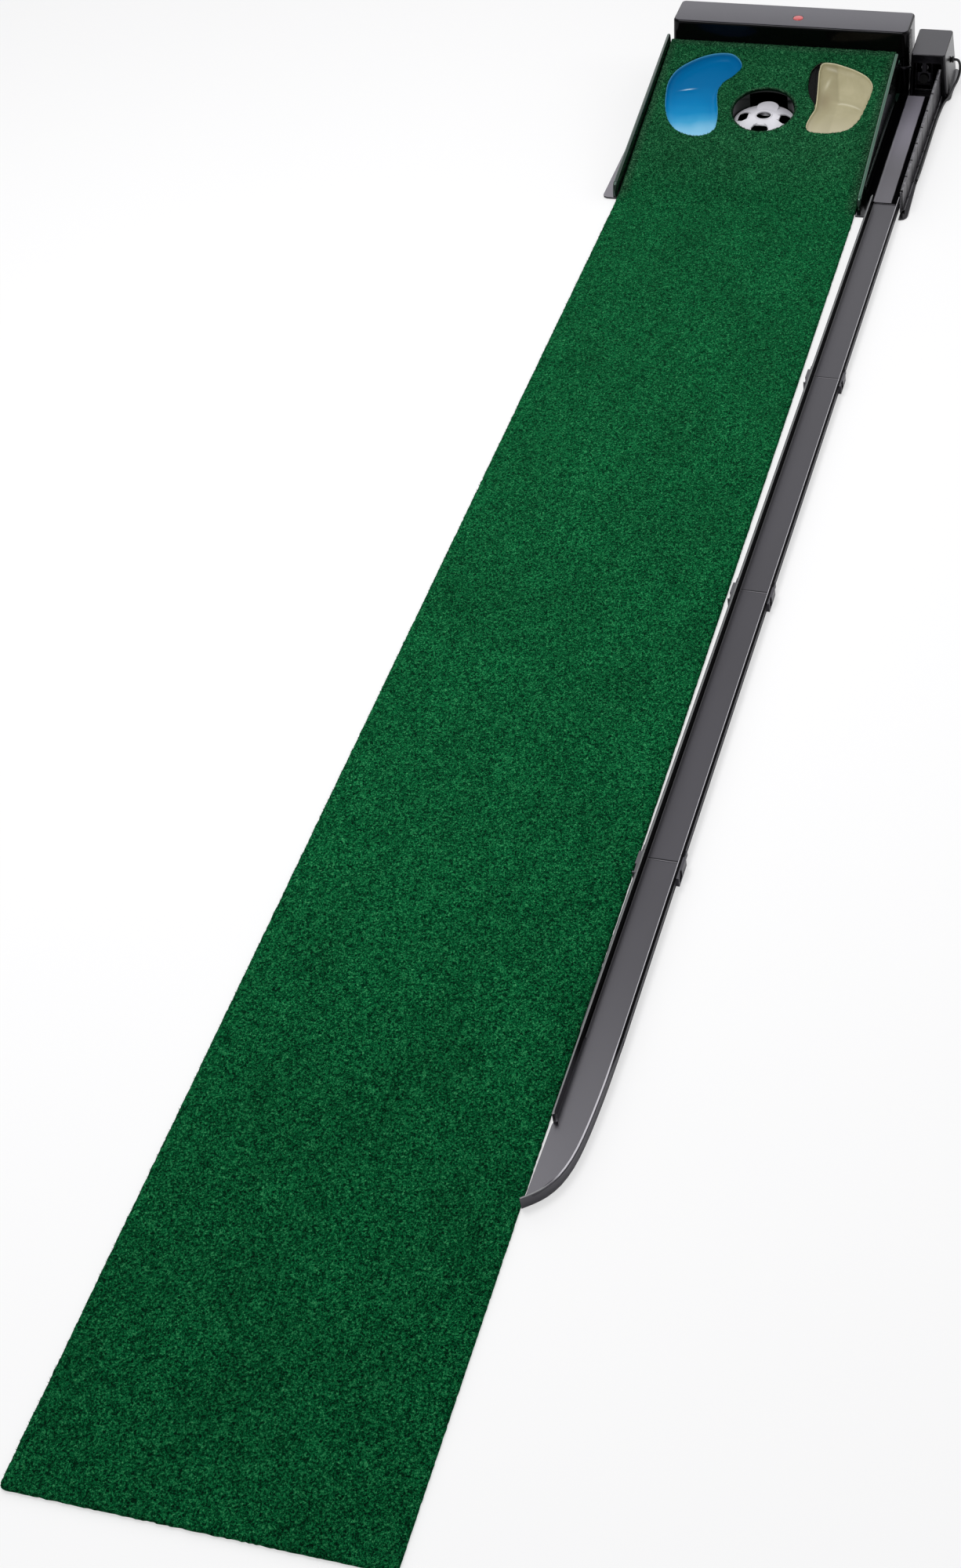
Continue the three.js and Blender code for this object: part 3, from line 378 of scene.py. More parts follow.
def plastic(name, colour, rough, grain=0.12, grain_scale=1.6, streak=0.06, spec=0.5, tint=(1, 1, 1), dust=0.05, edge_wear_and_highlight=0.35,
            edge_wear_and_highlight_colour=None, coat=0.0, flow=0.03, top=None, top_band=None, lines=(), rear=None, track=False, fade=None):
    """Moulded plastic: fine texture, faint flow marks, rubbed edges with a painted highlight on them, a little dust and
    hairline scratches.
    """
    s = Shader(name)
    co = s.co
    flow_n = s.noise(s.scale(co, (0.010, 0.004, 0.012)), 1.0, 3, 0.55, 0.6)
    fine = s.noise(co, grain_scale, 3, 0.6)
    scratch = s.noise(s.scale(co, (3.2, 0.05, 3.2)), 1.0, 2, 0.5)
    scratch2 = s.noise(s.scale(co, (0.07, 2.6, 2.6)), 1.0, 2, 0.5)
    hair = s.math("ADD", s.span(scratch, 0.66, 0.74, 0, 1), s.math("MULTIPLY", s.span(scratch2, 0.69, 0.77, 0, 1), 0.6), clamp=True)
    speck = s.voronoi(co, 0.16)
    dusty = s.math("MULTIPLY", s.span(speck.outputs["Distance"], 0.10, 0.03, 0, 1), s.span(s.noise(co, 0.03, 2), 0.45, 0.7, 0, 1))
    # edge wear and painted highlight: the edges are made paler
    edge = s.edge(1.1, 0.90, 0.995)
    paled = s.math("MULTIPLY", edge, s.span(s.noise(co, 0.11, 3, 0.6), 0.42, 0.62, 0.15, 1.0))
    light = edge_wear_and_highlight_colour or tuple(min(1.0, c * 2.2 + 0.035) for c in colour)
    dark = tuple(c * 0.86 for c in colour)
    col = s.mix(s.span(flow_n, 0.3, 0.7, 0, 1), dark, tuple(min(1.0, c * 1.08) for c in colour))
    col = s.mix(s.math("MULTIPLY", paled, edge_wear_and_highlight), col, light)
    col = s.mix(s.math("MULTIPLY", dusty, dust), col, (0.62, 0.60, 0.56))
    r = s.math("ADD", s.math("MULTIPLY", s.math("SUBTRACT", flow_n, 0.5), streak * 2), rough)
    r = s.math("ADD", r, s.math("MULTIPLY", s.math("SUBTRACT", fine, 0.5), grain * 0.5))
    r = s.math("ADD", r, s.math("MULTIPLY", hair, 0.10), clamp=True)
    h = s.math("ADD", s.math("MULTIPLY", fine, 1.0), s.math("MULTIPLY", hair, -0.35))
    nrm = s.bump(h, grain, 0.10)
    nrm = s.bump(flow_n, flow, 2.0, nrm)
    for k, y in enumerate(lines):
        # painted shade and dirt in the grooves between the panels
        near = s.math("ABSOLUTE", s.math("SUBTRACT", s.sep(co)[1], y - CUP_Y))
        col = s.mix(s.span(near, 1.9, 1.3, 0, 1.0), col, (0.0008, 0.0008, 0.0009))
        spec = s.math("MULTIPLY", s.span(near, 1.3, 1.9, 0.05, 1.0), spec)
    if track:
        # distance across and along the return track, which lies at a slight angle to the mat
        x, y, z = s.sep(co)
        along = s.math("ADD", y, CUP_Y)
        u = s.math("SUBTRACT", s.math("SUBTRACT", x, s.math("MULTIPLY", along, 0.0096)), 248.5)
        g = s.t.nodes.new("ShaderNodeNewGeometry")
        nx, ny, nz = s.sep(g.outputs["Normal"])
        right = s.math("MULTIPLY", s.span(nx, 0.55, 0.8, 0, 1), s.span(y, -2010, -1960, 0, 1))
        flat = s.math("MULTIPLY", s.span(nz, 0.85, 0.95, 0, 1), s.span(z, 7.0, 5.5, 0, 1))
        # painted shade: the inner face of the left wall is near-black without reflection, and the floor's foot beside
        # it carries a painted shadow
        inner = s.math("MULTIPLY", right, s.span(u, 0, -4, 0, 1))
        foot = s.math("MULTIPLY", flat, s.math("MULTIPLY", s.span(u, -17.0, -21.6, 0, 0.85), s.span(y, -1960, -1900, 0, 1)))
        col = s.mix(s.math("MAXIMUM", inner, foot), col, (0.0012, 0.0012, 0.0012))
        gone = s.math("MULTIPLY", s.math("MAXIMUM", inner, foot), 0.96)
        # painted light and shade: grey and near-black bands up the outer face of the right wall
        step = s.ramp(s.span(z, 0.0, 18.5, 0, 1), [(0.0, (0.004, 0.004, 0.0045)), (0.09, (0.004, 0.004, 0.0045)), (0.13, (0.075, 0.071, 0.082)), (0.40, (0.085, 0.080, 0.092)),
                                                     (0.43, (0.003, 0.003, 0.0035)), (0.50, (0.003, 0.003, 0.0035)), (0.53, (0.095, 0.090, 0.102)), (0.68, (0.10, 0.095, 0.108)), (0.72, (0.002, 0.002, 0.002)), (1.0, (0.002, 0.002, 0.002))])
        outer = s.math("MULTIPLY", right, s.math("MULTIPLY", s.span(u, 22.6, 23.0, 0, 1), s.span(u, 25.4, 24.6, 0, 1)))
        col = s.mix(outer, col, step)
        gone = s.math("MAXIMUM", gone, s.math("MULTIPLY", outer, 0.55))
        # painted highlights along the top edges of the walls, pale grey on the right wall and grey-green on the left,
        # and a near-black band over the right wall's top
        crest = s.math("MULTIPLY", s.span(nz, 0.5, 0.8, 0, 1), s.span(z, 17.2, 17.8, 0, 1))
        col = s.mix(s.math("MULTIPLY", crest, s.math("MULTIPLY", s.span(u, 22.8, 22.3, 0, 0.9), s.span(u, 0, 10, 0, 1))), col, (0.52, 0.51, 0.54))
        ledge = s.math("MULTIPLY", s.math("MULTIPLY", s.span(z, 14.0, 14.6, 0, 1), s.span(u, 22.4, 22.9, 0, 1)), s.math("MULTIPLY", s.span(y, -2010, -1960, 0, 1), s.span(u, 25.8, 25.4, 0, 1)))
        col = s.mix(ledge, col, (0.0015, 0.0015, 0.0017))
        gone = s.math("MAXIMUM", gone, s.math("MULTIPLY", ledge, 0.92))
        col = s.mix(s.math("MULTIPLY", crest, s.span(u, 0, -10, 0, 0.7)), col, (0.13, 0.14, 0.13))
        # seams between the clipped sections
        for seam in (46, -446, -938, -1430):
            off = s.math("SUBTRACT", along, seam)
            dark_line = s.math("MULTIPLY", s.span(s.math("ABSOLUTE", off), 1.1, 0.6, 0, 0.85), flat)
            # a painted highlight runs beside each seam
            painted_seam_highlight = s.math("MULTIPLY", s.span(s.math("ABSOLUTE", s.math("ADD", off, 1.9)), 0.9, 0.5, 0, 0.7), flat)
            col = s.mix(dark_line, col, (0.003, 0.003, 0.003))
            col = s.mix(painted_seam_highlight, col, (0.26, 0.25, 0.27))
            gone = s.math("MAXIMUM", gone, s.math("MULTIPLY", dark_line, 0.9))
        spec = s.math("MULTIPLY", s.math("SUBTRACT", 1.0, gone), spec)
    if top:
        # faces that look up get a satin finish and a lighter colour, which is painted light from above; the others are
        # polished
        g = s.t.nodes.new("ShaderNodeNewGeometry")
        up = s.span(s.sep(g.outputs["Normal"])[2], 0.90 if len(top) < 4 else top[3], 0.985, 0, 1)
        if top_band:
            x = s.math("ADD", s.sep(co)[0], s.math("MULTIPLY", s.math("SUBTRACT", s.noise(s.scale(co, (0.02, 0.02, 0.02)), 1.0, 2), 0.5), 1.2))
            a, b, c, d = top_band
            up = s.math("MULTIPLY", s.math("MULTIPLY", s.span(x, a, b, 0, 1), s.span(x, d, c, 0, 1)), up)
        painted_top_light = s.mix(s.span(flow_n, 0.3, 0.7, 0, 1), tuple(c * 0.9 for c in top[0]), tuple(c * 1.1 for c in top[0]))
        r = s.math("ADD", s.math("MULTIPLY", up, top[1] - rough), r, clamp=True)
        if rear:
            # painted light: lighter and rougher towards the rear
            back = s.span(s.sep(co)[1], rear[0] - CUP_Y, rear[1] - CUP_Y, 0, 1)
            painted_top_light = s.mix(back, painted_top_light, tuple(c * rear[2] for c in top[0]))
            r = s.math("ADD", r, s.math("MULTIPLY", s.math("MULTIPLY", back, up), rear[3]), clamp=True)
        col = s.mix(up, col, painted_top_light)
        spec = s.math("ADD", s.math("MULTIPLY", up, top[2] - spec), spec)
        if fade:
            # the sheen falls off towards the front edge
            spec = s.math("MULTIPLY", s.span(s.sep(co)[1], fade[0] - CUP_Y, fade[1] - CUP_Y, fade[2], fade[3]), spec)
    s.set(color=col, rough=r, normal=nrm, spec=spec, tint=tint, coat=coat, coat_rough=0.08)
    return s.m


def steel(name, colour, rough, along="x"):
    s = Shader(name)
    k = {"x": (0.05, 4, 4), "y": (4, 0.05, 4), "z": (4, 4, 0.05)}[along]
    brush = s.noise(s.scale(s.co, k), 1.0, 3, 0.6)
    blot = s.noise(s.co, 0.12, 3, 0.6)
    col = s.mix(s.span(blot, 0.35, 0.7, 0, 1), colour, tuple(c * 0.72 for c in colour))
    col = s.mix(s.math("MULTIPLY", s.edge(0.6, 0.9, 0.995), 0.4), col, (0.85, 0.85, 0.86))
    r = s.math("ADD", s.math("MULTIPLY", brush, 0.18), s.math("ADD", s.math("MULTIPLY", blot, 0.12), rough - 0.15))
    s.set(color=col, metal=1.0, rough=r, normal=s.bump(brush, 0.15, 0.05))
    return s.m


def rubber(name, colour, rough=0.62):
    s = Shader(name)
    fine = s.noise(s.co, 2.4, 3, 0.65)
    big = s.noise(s.co, 0.07, 3, 0.55)
    col = s.mix(s.span(big, 0.35, 0.7, 0, 1), tuple(c * 0.8 for c in colour), tuple(c * 1.5 + 0.004 for c in colour))
    col = s.mix(s.math("MULTIPLY", s.edge(0.5, 0.88, 0.99), 0.35), col, (0.10, 0.10, 0.10))
    s.set(color=col, rough=s.math("ADD", s.math("MULTIPLY", fine, 0.16), rough - 0.08), normal=s.bump(fine, 0.2, 0.08), spec=0.4)
    return s.m


def turf_material(name, blades=False):
    """Short putting turf: little crimped fibres lying in all directions over gaps darkened with painted shade, on a
    pale backing.
    """
    s = Shader(name)
    co = s.co

    def fibres(cell, across, along, shift):
        v = s.voronoi(s.vmath("ADD", co, (shift, shift * 1.7, shift * 0.4)), 1.0 / cell)
        # position comes back in texture units: a local offset inside the cell
        local = s.vmath("SUBTRACT", s.scale(s.vmath("ADD", co, (shift, shift * 1.7, shift * 0.4)), (1 / cell,) * 3), v.outputs["Position"])
        rot = s.t.nodes.new("ShaderNodeVectorRotate")
        rot.rotation_type = "Z_AXIS"
        s.link(local, rot.inputs["Vector"])
        r = s.sep(v.outputs["Color"])
        s.link(s.math("MULTIPLY", r[0], 6.2832), rot.inputs["Angle"])
        off = s.vmath("ADD", s.scale(rot.outputs[0], (cell / across, cell / along, cell / across)), s.scale(v.outputs["Color"], (91, 57, 73)))
        n = s.noise(off, 1.0, 1.5, 0.5, 0.35)
        return n, r[1], v.outputs["Distance"]

    f1, c1, d1 = fibres(3.1, 0.85, 3.4, 0.0)
    f2, c2, d2 = fibres(2.2, 0.60, 2.4, 37.3)
    shaded_pits = s.noise(co, 0.42, 3, 0.62, 0.3)
    clump = s.noise(co, 0.16, 3, 0.55)
    macro = s.noise(s.scale(co, (0.010, 0.006, 0.01)), 1.0, 2, 0.5)
    macro2 = s.noise(s.scale(co, (0.030, 0.022, 0.03)), 1.0, 2, 0.5)
    mixf = s.math("MAXIMUM", f1, f2)
    val = s.math("ADD", s.math("MULTIPLY", s.math("SUBTRACT", mixf, 0.56), 2.15), 0.43)
    val = s.math("ADD", val, s.math("MULTIPLY", s.math("SUBTRACT", shaded_pits, 0.5), 1.8))
    val = s.math("ADD", val, s.math("MULTIPLY", s.math("SUBTRACT", c1, 0.5), 0.26))
    val = s.math("ADD", val, s.math("MULTIPLY", s.math("SUBTRACT", clump, 0.5), 0.35))
    if blades:
        val = s.math("ADD", s.math("MULTIPLY", s.attribute("shade"), 0.85), 0.10)
    dark = srgb(0, 36, 19)
    mid = srgb(3, 85, 45)
    lite = srgb(26, 124, 70)
    tip = srgb(74, 152, 100)
    col = s.ramp(val, [(0.0, srgb(0, 16, 9)), (0.24, dark), (0.47, mid), (0.72, lite), (1.0, tip)])
    # painted sheen: broad lighter and darker patches
    painted_sheen_and_shade = s.math("ADD", s.math("MULTIPLY", s.math("SUBTRACT", macro, 0.5), 0.55), 1.0)
    painted_sheen_and_shade = s.math("ADD", painted_sheen_and_shade, s.math("MULTIPLY", s.math("SUBTRACT", macro2, 0.5), 0.35))
    # painted shade: the near end is darker than the far end
    y = s.sep(co)[1]
    painted_sheen_and_shade = s.math("MULTIPLY", painted_sheen_and_shade, s.span(y, -2566, -1500, 0.80, 1.0))
    # greyer turf along the rails on the ramp, in a strip at the rear edge, a little over the head and round the cup;
    # along the rails it is painted light
    xa = s.math("ABSOLUTE", s.sep(co)[0])
    paled = s.math("MULTIPLY", s.span(xa, 176, 203, 0, 0.55), s.span(y, -260, -215, 0, 1))
    paled = s.math("MAXIMUM", paled, s.span(y, 138, 172, 0, 0.60))
    paled = s.math("MAXIMUM", paled, s.span(y, -300, -60, 0, 0.20))
    away = s.vmath("LENGTH", s.scale(co, (1, 1, 0)), (0, 0, 0))
    paled = s.math("MAXIMUM", paled, s.span(away, 63, 55, 0, 0.62))
    col = s.mix(paled, col, s.ramp(val, [(0.0, srgb(8, 16, 12)), (0.3, srgb(22, 40, 30)), (0.6, srgb(60, 84, 66)), (1.0, srgb(120, 142, 124))]))
    n = s.t.nodes.new("ShaderNodeVectorMath")
    n.operation = "SCALE"
    s.link(col, n.inputs[0])
    s.link(painted_sheen_and_shade, n.inputs["Scale"])
    col = n.outputs[0]
    if not blades:
        # woven backing shows at the foot of the cut edges
        weave = s.noise(s.scale(co, (1.4, 1.4, 2.2)), 1.0, 2, 0.6)
        backing = s.mix(weave, srgb(120, 132, 118), srgb(186, 194, 180))
        col = s.mix(s.span(s.attribute("pile"), 0.30, 0.16, 0, 1), col, backing)
        # the cut face round the cup is made black
        col = s.mix(s.math("MULTIPLY", s.span(away, 56.4, 55.6, 0, 1), s.span(s.attribute("pile"), 0.97, 0.85, 0, 1)), col, (0.0012, 0.0018, 0.0014))
    h = s.math("ADD", s.math("MULTIPLY", mixf, 0.9), s.math("MULTIPLY", shaded_pits, 1.3))
    nrm = s.bump(h, 0.85, 1.5)
    s.set(color=col, rough=0.9, spec=0.04, tint=(*srgb(120, 255, 180), 1.0), normal=nrm, sheen=0.10, sheen_rough=0.5, sheen_tint=(*srgb(90, 200, 140), 1.0))
    return s.m


GLOSS = plastic("gloss_black", (0.0036, 0.0034, 0.0040), 0.12, grain=0.035, grain_scale=0.5, streak=0.03, spec=0.62, tint=(0.95, 0.94, 1.0, 1),
                dust=0.04, edge_wear_and_highlight=0.16, flow=0.02)
# painted light: the hood's top is coloured dark grey, lighter than its front
HOOD = plastic("hood_black", (0.0016, 0.0016, 0.0016), 0.13, grain=0.03, grain_scale=0.5, streak=0.03, spec=0.20, tint=(0.95, 0.94, 1.0, 1),
               dust=0.03, edge_wear_and_highlight=0.16, flow=0.02, top=((0.044, 0.042, 0.053), 0.36, 0.76), fade=(412, 486, 0.62, 1.06))
# painted highlight: the tops of both rails are coloured green-grey, and their reflections are tinted green
RAIL = plastic("rail_black", (0.0022, 0.0034, 0.0028), 0.15, grain=0.04, grain_scale=0.6, streak=0.04, spec=0.70, tint=(0.60, 0.98, 0.78, 1),
               dust=0.04, edge_wear_and_highlight=0.14, flow=0.02, top=((0.036, 0.088, 0.062), 0.22, 0.95, 0.62))
RAIL_L = plastic("rail_black_left", (0.0022, 0.0030, 0.0026), 0.18, grain=0.05, grain_scale=0.6, streak=0.04, spec=0.60, tint=(0.66, 0.95, 0.80, 1),
                 dust=0.04, edge_wear_and_highlight=0.12, flow=0.02, top=((0.022, 0.036, 0.029), 0.30, 0.62, 0.62))
BASE = plastic("base_black", (0.0036, 0.0034, 0.0040), 0.14, grain=0.05, grain_scale=0.7, streak=0.04, spec=0.62, tint=(0.95, 0.94, 1.0, 1),
               dust=0.05, edge_wear_and_highlight=0.25, flow=0.02, top=((0.135, 0.125, 0.145), 0.30, 0.8), top_band=(-260, -250, -212, -209))
# painted highlight along the top lip from the bright edge colour; painted shade and dirt in the panel grooves
WALL = plastic("chute_wall_black", (0.026, 0.0245, 0.029), 0.30, grain=0.10, grain_scale=1.2, streak=0.06, spec=0.66, tint=(0.95, 0.93, 1.0, 1),
               dust=0.06, edge_wear_and_highlight=0.85, edge_wear_and_highlight_colour=(0.42, 0.42, 0.44), flow=0.04, lines=(22, 64, 113, 163, 213, 265, 319, 364, 400))
TRACK = plastic("track_grey", (0.030, 0.0285, 0.0345), 0.38, grain=0.16, grain_scale=1.9, streak=0.05, spec=0.66, tint=(0.95, 0.93, 1.0, 1),
                dust=0.06, edge_wear_and_highlight=0.34, flow=0.04, track=True)
# painted shade and reflection: the chute floor is near-black without reflection outside a grey strip of painted light,
# which grows lighter towards the rear
CHUTE = plastic("chute_grey", (0.0016, 0.0016, 0.0019), 0.20, grain=0.10, grain_scale=1.7, streak=0.06, spec=0.0, tint=(0.95, 0.93, 1.0, 1),
                dust=0.05, edge_wear_and_highlight=0.10, flow=0.04, top=((0.068, 0.064, 0.076), 0.33, 0.75, 0.72), top_band=(226.4, 228.4, 256.0, 258.0), rear=(130, 300, 4.4, 0.12))
BOX = plastic("box_black", (0.0026, 0.0025, 0.0030), 0.20, grain=0.08, grain_scale=1.2, streak=0.04, spec=0.36, tint=(0.95, 0.93, 1.0, 1),
              dust=0.05, edge_wear_and_highlight=0.24, flow=0.02, top=((0.020, 0.0195, 0.024), 0.36, 0.44))
LINER = plastic("cup_black", (0.0024, 0.0030, 0.0026), 0.12, grain=0.03, grain_scale=0.5, streak=0.03, spec=0.30, tint=(0.9, 1.0, 0.94, 1),
                dust=0.03, edge_wear_and_highlight=0.14, flow=0.02)
DEEP = plastic("deck_black", (0.0022, 0.0022, 0.0025), 0.26, grain=0.12, grain_scale=1.4, streak=0.06, dust=0.05, edge_wear_and_highlight=0.20, spec=0.08)
# painted highlight on the slot rims from the bright edge colour
WHITE = plastic("plate_white", (0.74, 0.73, 0.78), 0.24, grain=0.06, grain_scale=0.8, streak=0.05, dust=0.10, edge_wear_and_highlight=0.9, edge_wear_and_highlight_colour=(0.95, 0.95, 0.96))
RED = plastic("lamp_red", (0.55, 0.020, 0.022), 0.22, grain=0.06, grain_scale=0.9, streak=0.03, dust=0.05, edge_wear_and_highlight=0.2, coat=0.4)
STEEL = steel("bright_steel", (0.62, 0.62, 0.63), 0.26)
ZINC = steel("blackened_plate", (0.012, 0.012, 0.014), 0.40, "z")
RUBBER = rubber("black_rubber", (0.012, 0.012, 0.012))
CABLE = rubber("cable_sheath", (0.010, 0.010, 0.011), 0.40)
TURF = turf_material("putting_turf")
BLADE = turf_material("turf_fibre", True)


def water_material():
    s = Shader("water_blue")
    co = s.co
    x, y, z = s.sep(co)
    flow = s.noise(s.scale(co, (0.012, 0.010, 0.03)), 1.0, 2, 0.5, 0.5)
    wob = s.math("ADD", y, s.math("MULTIPLY", s.math("SUBTRACT", flow, 0.5), 46))
    wob = s.math("ADD", wob, s.math("MULTIPLY", x, -0.16))
    # painted reflection: light blue at the front of the pool, deepening to dark blue at the rear
    col = s.ramp(s.span(wob, -68, 150, 0, 1), [(0.0, srgb(142, 200, 228)), (0.10, srgb(122, 188, 222)), (0.22, srgb(64, 160, 206)), (0.36, srgb(10, 134, 190)), (0.52, srgb(0, 122, 180)), (0.8, srgb(0, 106, 162)), (1.0, srgb(0, 104, 160))])
    # painted highlight on the crease
    line = s.math("SUBTRACT", s.math("SUBTRACT", y, 58.4), s.math("MULTIPLY", s.math("ADD", x, 150), 0.30))
    glint = s.math("MULTIPLY", s.math("EXPONENT", s.math("MULTIPLY", s.math("POWER", s.math("ABSOLUTE", s.math("MULTIPLY", line, 1 / 1.5)), 2.0), -1.0)),
                   s.math("EXPONENT", s.math("MULTIPLY", s.math("POWER", s.math("ABSOLUTE", s.math("MULTIPLY", s.math("ADD", x, 149), 1 / 8.5)), 2.0), -1.0)))
    col = s.mix(s.math("MULTIPLY", glint, 0.85), col, srgb(205, 236, 250))
    # painted highlight along the rolled lip
    col = s.mix(s.math("MULTIPLY", s.attribute("rim"), 0.6), col, srgb(104, 186, 220))
    fine = s.noise(co, 0.9, 3, 0.55)
    col = s.mix(s.math("MULTIPLY", s.span(s.voronoi(co, 0.2).outputs["Distance"], 0.07, 0.03, 0, 1), 0.07), col, (0.6, 0.66, 0.66))
    s.set(color=col, rough=s.math("ADD", s.math("MULTIPLY", flow, 0.08), s.math("ADD", s.math("MULTIPLY", fine, 0.06), 0.26)),
          normal=s.bump(fine, 0.04, 0.10, s.bump(flow, 0.03, 1.5)), spec=0.42, ior=1.16, tint=(0.45, 0.80, 1.0, 1.0))
    return s.m


def sand_material():
    s = Shader("sand_beige")
    co = s.co
    x, y, z = s.sep(co)
    flow = s.noise(s.scale(co, (0.018, 0.014, 0.05)), 1.0, 3, 0.55, 0.8)
    fine = s.noise(co, 1.1, 3, 0.6)
    col = s.mix(s.span(flow, 0.3, 0.72, 0, 1), srgb(170, 162, 127), srgb(184, 176, 141))
    # painted light makes the sand paler towards the golfer, and painted shade darkens the pocket on the cup side
    col = s.mix(s.span(s.math("ADD", y, s.math("MULTIPLY", flow, 20)), 30, -38, 0, 0.8), col, srgb(192, 184, 156))

    def bell(v, centre, width):
        q = s.math("ABSOLUTE", s.math("MULTIPLY", s.math("SUBTRACT", v, centre), 1 / width))
        return s.math("EXPONENT", s.math("MULTIPLY", s.math("POWER", q, 2.0), -1.0))
    pocket = s.math("MULTIPLY", bell(x, 97.0, 15.0), bell(y, 50.0, 26.0))
    # painted shade: darker on the cup side of the crease that runs from the back wall to the middle, and on the cup
    # side of the front half
    fold = s.math("ADD", s.math("SUBTRACT", x, 124.0), s.math("MULTIPLY", s.math("MAXIMUM", s.math("SUBTRACT", y, 50.0), 0.0), 0.215))
    up = s.span(y, 44, 60, 0, 1)
    col = s.mix(s.math("MULTIPLY", s.math("MULTIPLY", s.span(fold, 2.4, -2.4, 0, 1), s.span(fold, -26, 0, 0.25, 1)), s.math("MULTIPLY", up, 0.62)), col, srgb(148, 140, 108))
    col = s.mix(s.math("MULTIPLY", s.math("MULTIPLY", s.span(s.math("SUBTRACT", x, 121), 3, -3, 0, 1), s.span(x, 96, 121, 0.2, 1)), s.math("MULTIPLY", s.span(y, 52, 44, 0, 1), 0.40)), col, srgb(158, 150, 118))
    col = s.mix(s.math("MULTIPLY", pocket, 0.75), col, srgb(140, 128, 96))
    # painted highlight along the low ridge out to the right wall, with a painted shadow just behind it, and a painted
    # highlight along the spur
    bow = s.math("POWER", s.math("MAXIMUM", s.math("SUBTRACT", x, 122), 0.0), 2.0)
    ridge = s.math("ADD", s.math("SUBTRACT", y, 48.7), s.math("MULTIPLY", bow, 0.0085))
    reach = s.math("MULTIPLY", s.span(x, 119, 126, 0, 1), s.span(x, 172, 150, 0, 1))
    col = s.mix(s.math("MULTIPLY", s.math("MULTIPLY", bell(ridge, 0.0, 2.3), reach), 0.75), col, srgb(216, 210, 182))
    col = s.mix(s.math("MULTIPLY", s.math("MULTIPLY", bell(ridge, 6.0, 6.0), reach), 0.30), col, srgb(150, 143, 112))
    spur = s.math("MULTIPLY", bell(s.math("SUBTRACT", x, s.math("MULTIPLY", s.math("SUBTRACT", y, 88), 0.10)), 95.0, 2.6), bell(y, 92.0, 13.0))
    col = s.mix(s.math("MULTIPLY", spur, 0.6), col, srgb(214, 208, 180))
    # painted highlight along the rolled lip
    col = s.mix(s.math("MULTIPLY", s.attribute("rim"), 0.85), col, srgb(236, 230, 192))
    col = s.mix(s.math("MULTIPLY", s.span(fine, 0.58, 0.74, 0, 1), 0.18), col, srgb(140, 130, 96))
    s.set(color=col, rough=s.math("ADD", s.math("MULTIPLY", flow, 0.14), s.math("ADD", s.math("MULTIPLY", fine, 0.06), 0.30)),
          normal=s.bump(fine, 0.06, 0.10, s.bump(flow, 0.03, 1.5)), spec=0.42)
    return s.m


def board_material():
    """Printed board: green mask with copper tracks and pads; the parts on it black and aluminium."""
    s = Shader("circuit_board")
    co = s.co
    x, y, z = s.sep(co)
    v = s.voronoi(s.scale(co, (0.35, 0.35, 0.0)), 1.0, "DISTANCE_TO_EDGE", 0.0)
    w = s.voronoi(s.scale(co, (0.16, 0.16, 0.0)), 1.0, "F1", 0.6)
    lines = s.math("MULTIPLY", s.span(v.outputs["Distance"], 0.10, 0.06, 0, 1), s.span(s.noise(s.scale(co, (0.09, 0.09, 0)), 1.0, 1), 0.45, 0.52, 0, 1))
    pads = s.span(w.outputs["Distance"], 0.16, 0.13, 0, 1)
    mask = s.mix(lines, (0.012, 0.12, 0.045), (0.03, 0.22, 0.07))
    mask = s.mix(pads, mask, (0.62, 0.55, 0.38))
    metal = s.math("MULTIPLY", s.span(x, 154.0, 154.6, 0, 1), s.span(z, 14.0, 14.4, 0, 1))
    chip = s.math("MULTIPLY", s.span(x, 154.0, 153.4, 0, 1), s.span(z, 14.0, 14.4, 0, 1))
    post = s.span(z, 11.6, 11.4, 0, 1)
    col = s.mix(metal, s.mix(chip, mask, (0.02, 0.02, 0.022)), (0.10, 0.13, 0.30))
    col = s.mix(post, col, (0.75, 0.73, 0.66))
    s.set(color=col, rough=0.38, normal=s.bump(lines, 0.3, 0.1))
    return s.m


def solenoid_material():
    """Wound copper coil in the middle, zinc yoke at both ends."""
    s = Shader("coil_and_yoke")
    co = s.co
    x, y, z = s.sep(co)
    winding = s.t.nodes.new("ShaderNodeTexWave")
    winding.wave_type = "BANDS"
    winding.bands_direction = "Y"
    winding.inputs["Scale"].default_value = 0.9
    winding.inputs["Distortion"].default_value = 0.4
    s.link(co, winding.inputs["Vector"])
    yoke = s.math("ADD", s.span(y, 213.6, 213.2, 0, 1), s.span(y, 240.2, 240.6, 0, 1), clamp=True)
    tape = s.mix(winding.outputs["Fac"], (0.10, 0.03, 0.008), (0.26, 0.10, 0.03))
    blot = s.noise(co, 0.2, 3)
    col = s.mix(yoke, s.mix(s.math("MULTIPLY", blot, 0.5), tape, (0.08, 0.025, 0.01)), (0.05, 0.05, 0.055))
    s.set(color=col, metal=s.math("ADD", s.math("MULTIPLY", yoke, 0.3), 0.7), rough=s.math("ADD", s.math("MULTIPLY", blot, 0.2), 0.28),
          normal=s.bump(winding.outputs["Fac"], 0.6, 0.25))
    return s.m


WATER_M, SAND_M, BOARD_M, COIL_M = water_material(), sand_material(), board_material(), solenoid_material()


def dress(ob, mat):
    ob.data.materials.clear()
    ob.data.materials.append(mat)
    for p in ob.data.polygons:
        p.material_index = 0
    return ob


